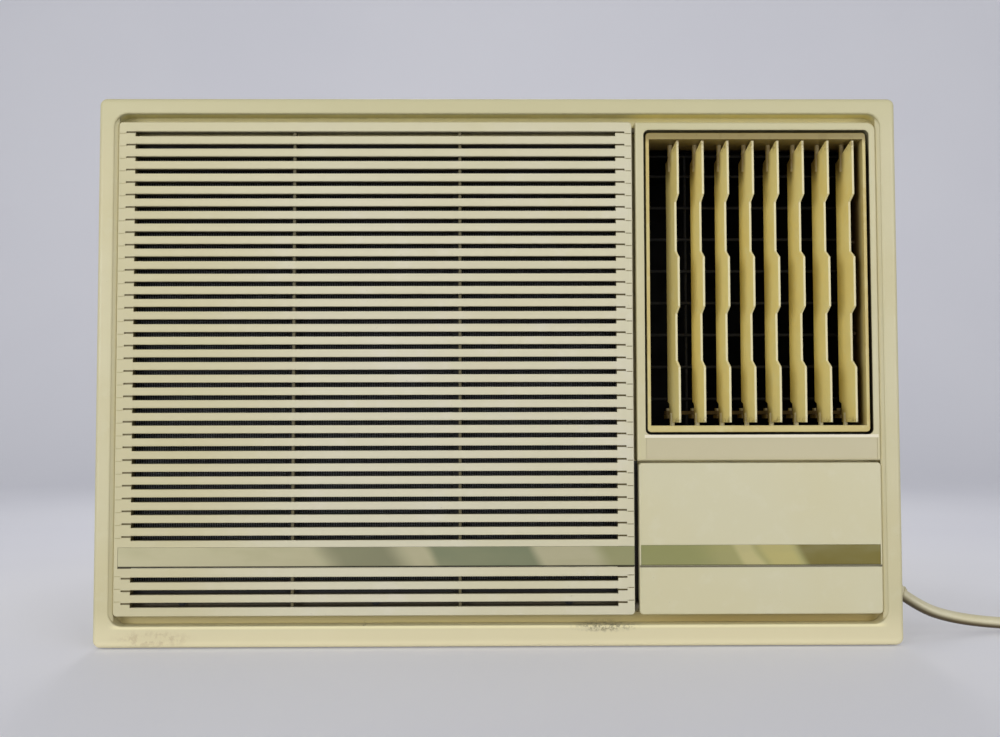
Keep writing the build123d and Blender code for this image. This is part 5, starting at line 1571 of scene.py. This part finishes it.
@dataclass
class Studio:
    """Camera, floor, backdrop, lamps and sky light."""

    eye: Point = (-0.0073, -1.2438, 0.1866)
    ahead: Point = (0.00907, 0.99894, 0.0450)
    roll: float = -0.13
    lens: float = 39.7
    sensor: float = 36.0
    floor_colour: Colour = paint(218, 217, 222)
    floor_cloud: Colour = paint(214, 213, 219)
    floor_glow: Colour = paint(228, 230, 238)
    floor_rows: tuple[float, ...] = (-2.6, -1.0)
    half_wide: float = 6.0
    glow: float = 0.20
    sky_colour: Colour = (0.93, 0.95, 1.0)
    sky: float = 0.40
    backdrop: float = 0.62
    depth: float = 2.6
    top: float = 5.0
    bend: float = 0.8
    bend_steps: int = 16
    aim: Point = (0.0, -0.2, 0.25)
    lamps: tuple[Lamp, ...] = (
        Lamp("key", (-2.5, -3.5, 0.85), size=2.0, power=19.4),
        Lamp("fill", (2.5, -3.5, 0.70), size=2.2, power=15.8),
        Lamp("rear", (0.0, 2.3, 1.7), size=1.6, power=8.5),
    )

    def build(self) -> None:
        """Set up the studio."""
        self.camera()
        self.floor()
        self.light()
        bpy.context.scene.view_settings.view_transform = "Standard"

    def camera(self) -> None:
        """Stand the camera where the photograph was taken from."""
        data = bpy.data.cameras.new("camera")
        data.sensor_width = self.sensor
        data.lens = self.lens
        data.clip_start = 0.01
        camera = link("camera", data)
        roll = Matrix.Rotation(math.radians(self.roll), 4, "Z")
        camera.matrix_world = facing_along(self.eye, self.ahead) @ roll
        bpy.context.scene.camera = camera

    def floor(self) -> None:
        """Lay the floor and bend it up into the backdrop in one sheet."""
        mesh = bmesh.new()
        flat = self.depth - self.bend
        profile = [(y, 0.0) for y in (*self.floor_rows, flat)]
        for step in range(1, self.bend_steps + 1):
            turn = math.pi / 2 * step / self.bend_steps
            profile.append((flat + self.bend * math.sin(turn), self.bend * (1.0 - math.cos(turn))))
        profile.append((self.depth, self.top))
        left = [mesh.verts.new((-self.half_wide, y, z)) for y, z in profile]
        right = [mesh.verts.new((self.half_wide, y, z)) for y, z in profile]
        for step in range(len(profile) - 1):
            mesh.faces.new((left[step], right[step], right[step + 1], left[step + 1]))
        sheet = show("studio_floor", mesh, True)
        material, graph, shader, own = start_material("studio_sheet")
        cloud = graph.noise(own["Object"], 1.4, detail=2.0)
        tone = graph.mix(graph.fade(cloud, 0.3, 0.7), self.floor_colour, self.floor_cloud)
        graph.feed(shader["Base Color"], tone)
        shader["Roughness"].default_value = 0.75
        shader["Emission Color"].default_value = (*self.floor_glow, 1.0)
        graph.feed(shader["Emission Strength"], graph.times(self.seen(graph), self.glow))
        sheet.data.materials.append(material)

    def seen(self, graph: Graph) -> NodeSocket:
        """Give 1 for what the camera sees, straight or in a mirror, and 0 for light.

        Args:
            graph: The graph that asks.

        Returns:
            The value.
        """
        rays = graph.node("ShaderNodeLightPath").outputs
        seen = graph.math("MAXIMUM", rays["Is Camera Ray"], rays["Is Glossy Ray"])
        return graph.math("MAXIMUM", seen, rays["Is Transmission Ray"])

    def light(self) -> None:
        """Hang the lamps and set the sky light."""
        for lamp in self.lamps:
            data = bpy.data.lights.new(lamp.name, "AREA")
            data.size = lamp.size
            data.energy = lamp.power
            data.spread = math.radians(lamp.spread)
            hung = link(lamp.name, data)
            hung.visible_camera = False
            hung.matrix_world = facing_along(lamp.place, Vector(self.aim) - Vector(lamp.place))
        world = bpy.data.worlds.new("sky")
        world.use_nodes = True
        graph = Graph(world.node_tree)
        background = world.node_tree.nodes["Background"].inputs
        graph.feed(background["Color"], self.sky_colour)
        lift = graph.times(self.seen(graph), self.backdrop - self.sky)
        graph.feed(background["Strength"], graph.math("ADD", lift, self.sky))
        bpy.context.scene.world = world


def main() -> None:
    """Build the studio and every sub-assembly."""
    logging.basicConfig(level=logging.INFO, format="%(name)s: %(message)s")
    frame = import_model()
    wardrobe = Wardrobe(frame["nodes"])
    Studio().build()
    for assembly in (
        MainsLead(wardrobe),
        Cabinet(wardrobe),
        FrontPanel(wardrobe),
        IntakeGrille(wardrobe),
        ControlDeck(wardrobe),
        Louvre(wardrobe),
        CoolingCircuit(wardrobe),
        AirMover(wardrobe),
    ):
        assembly.build()


if __name__ == "__main__":
    main()
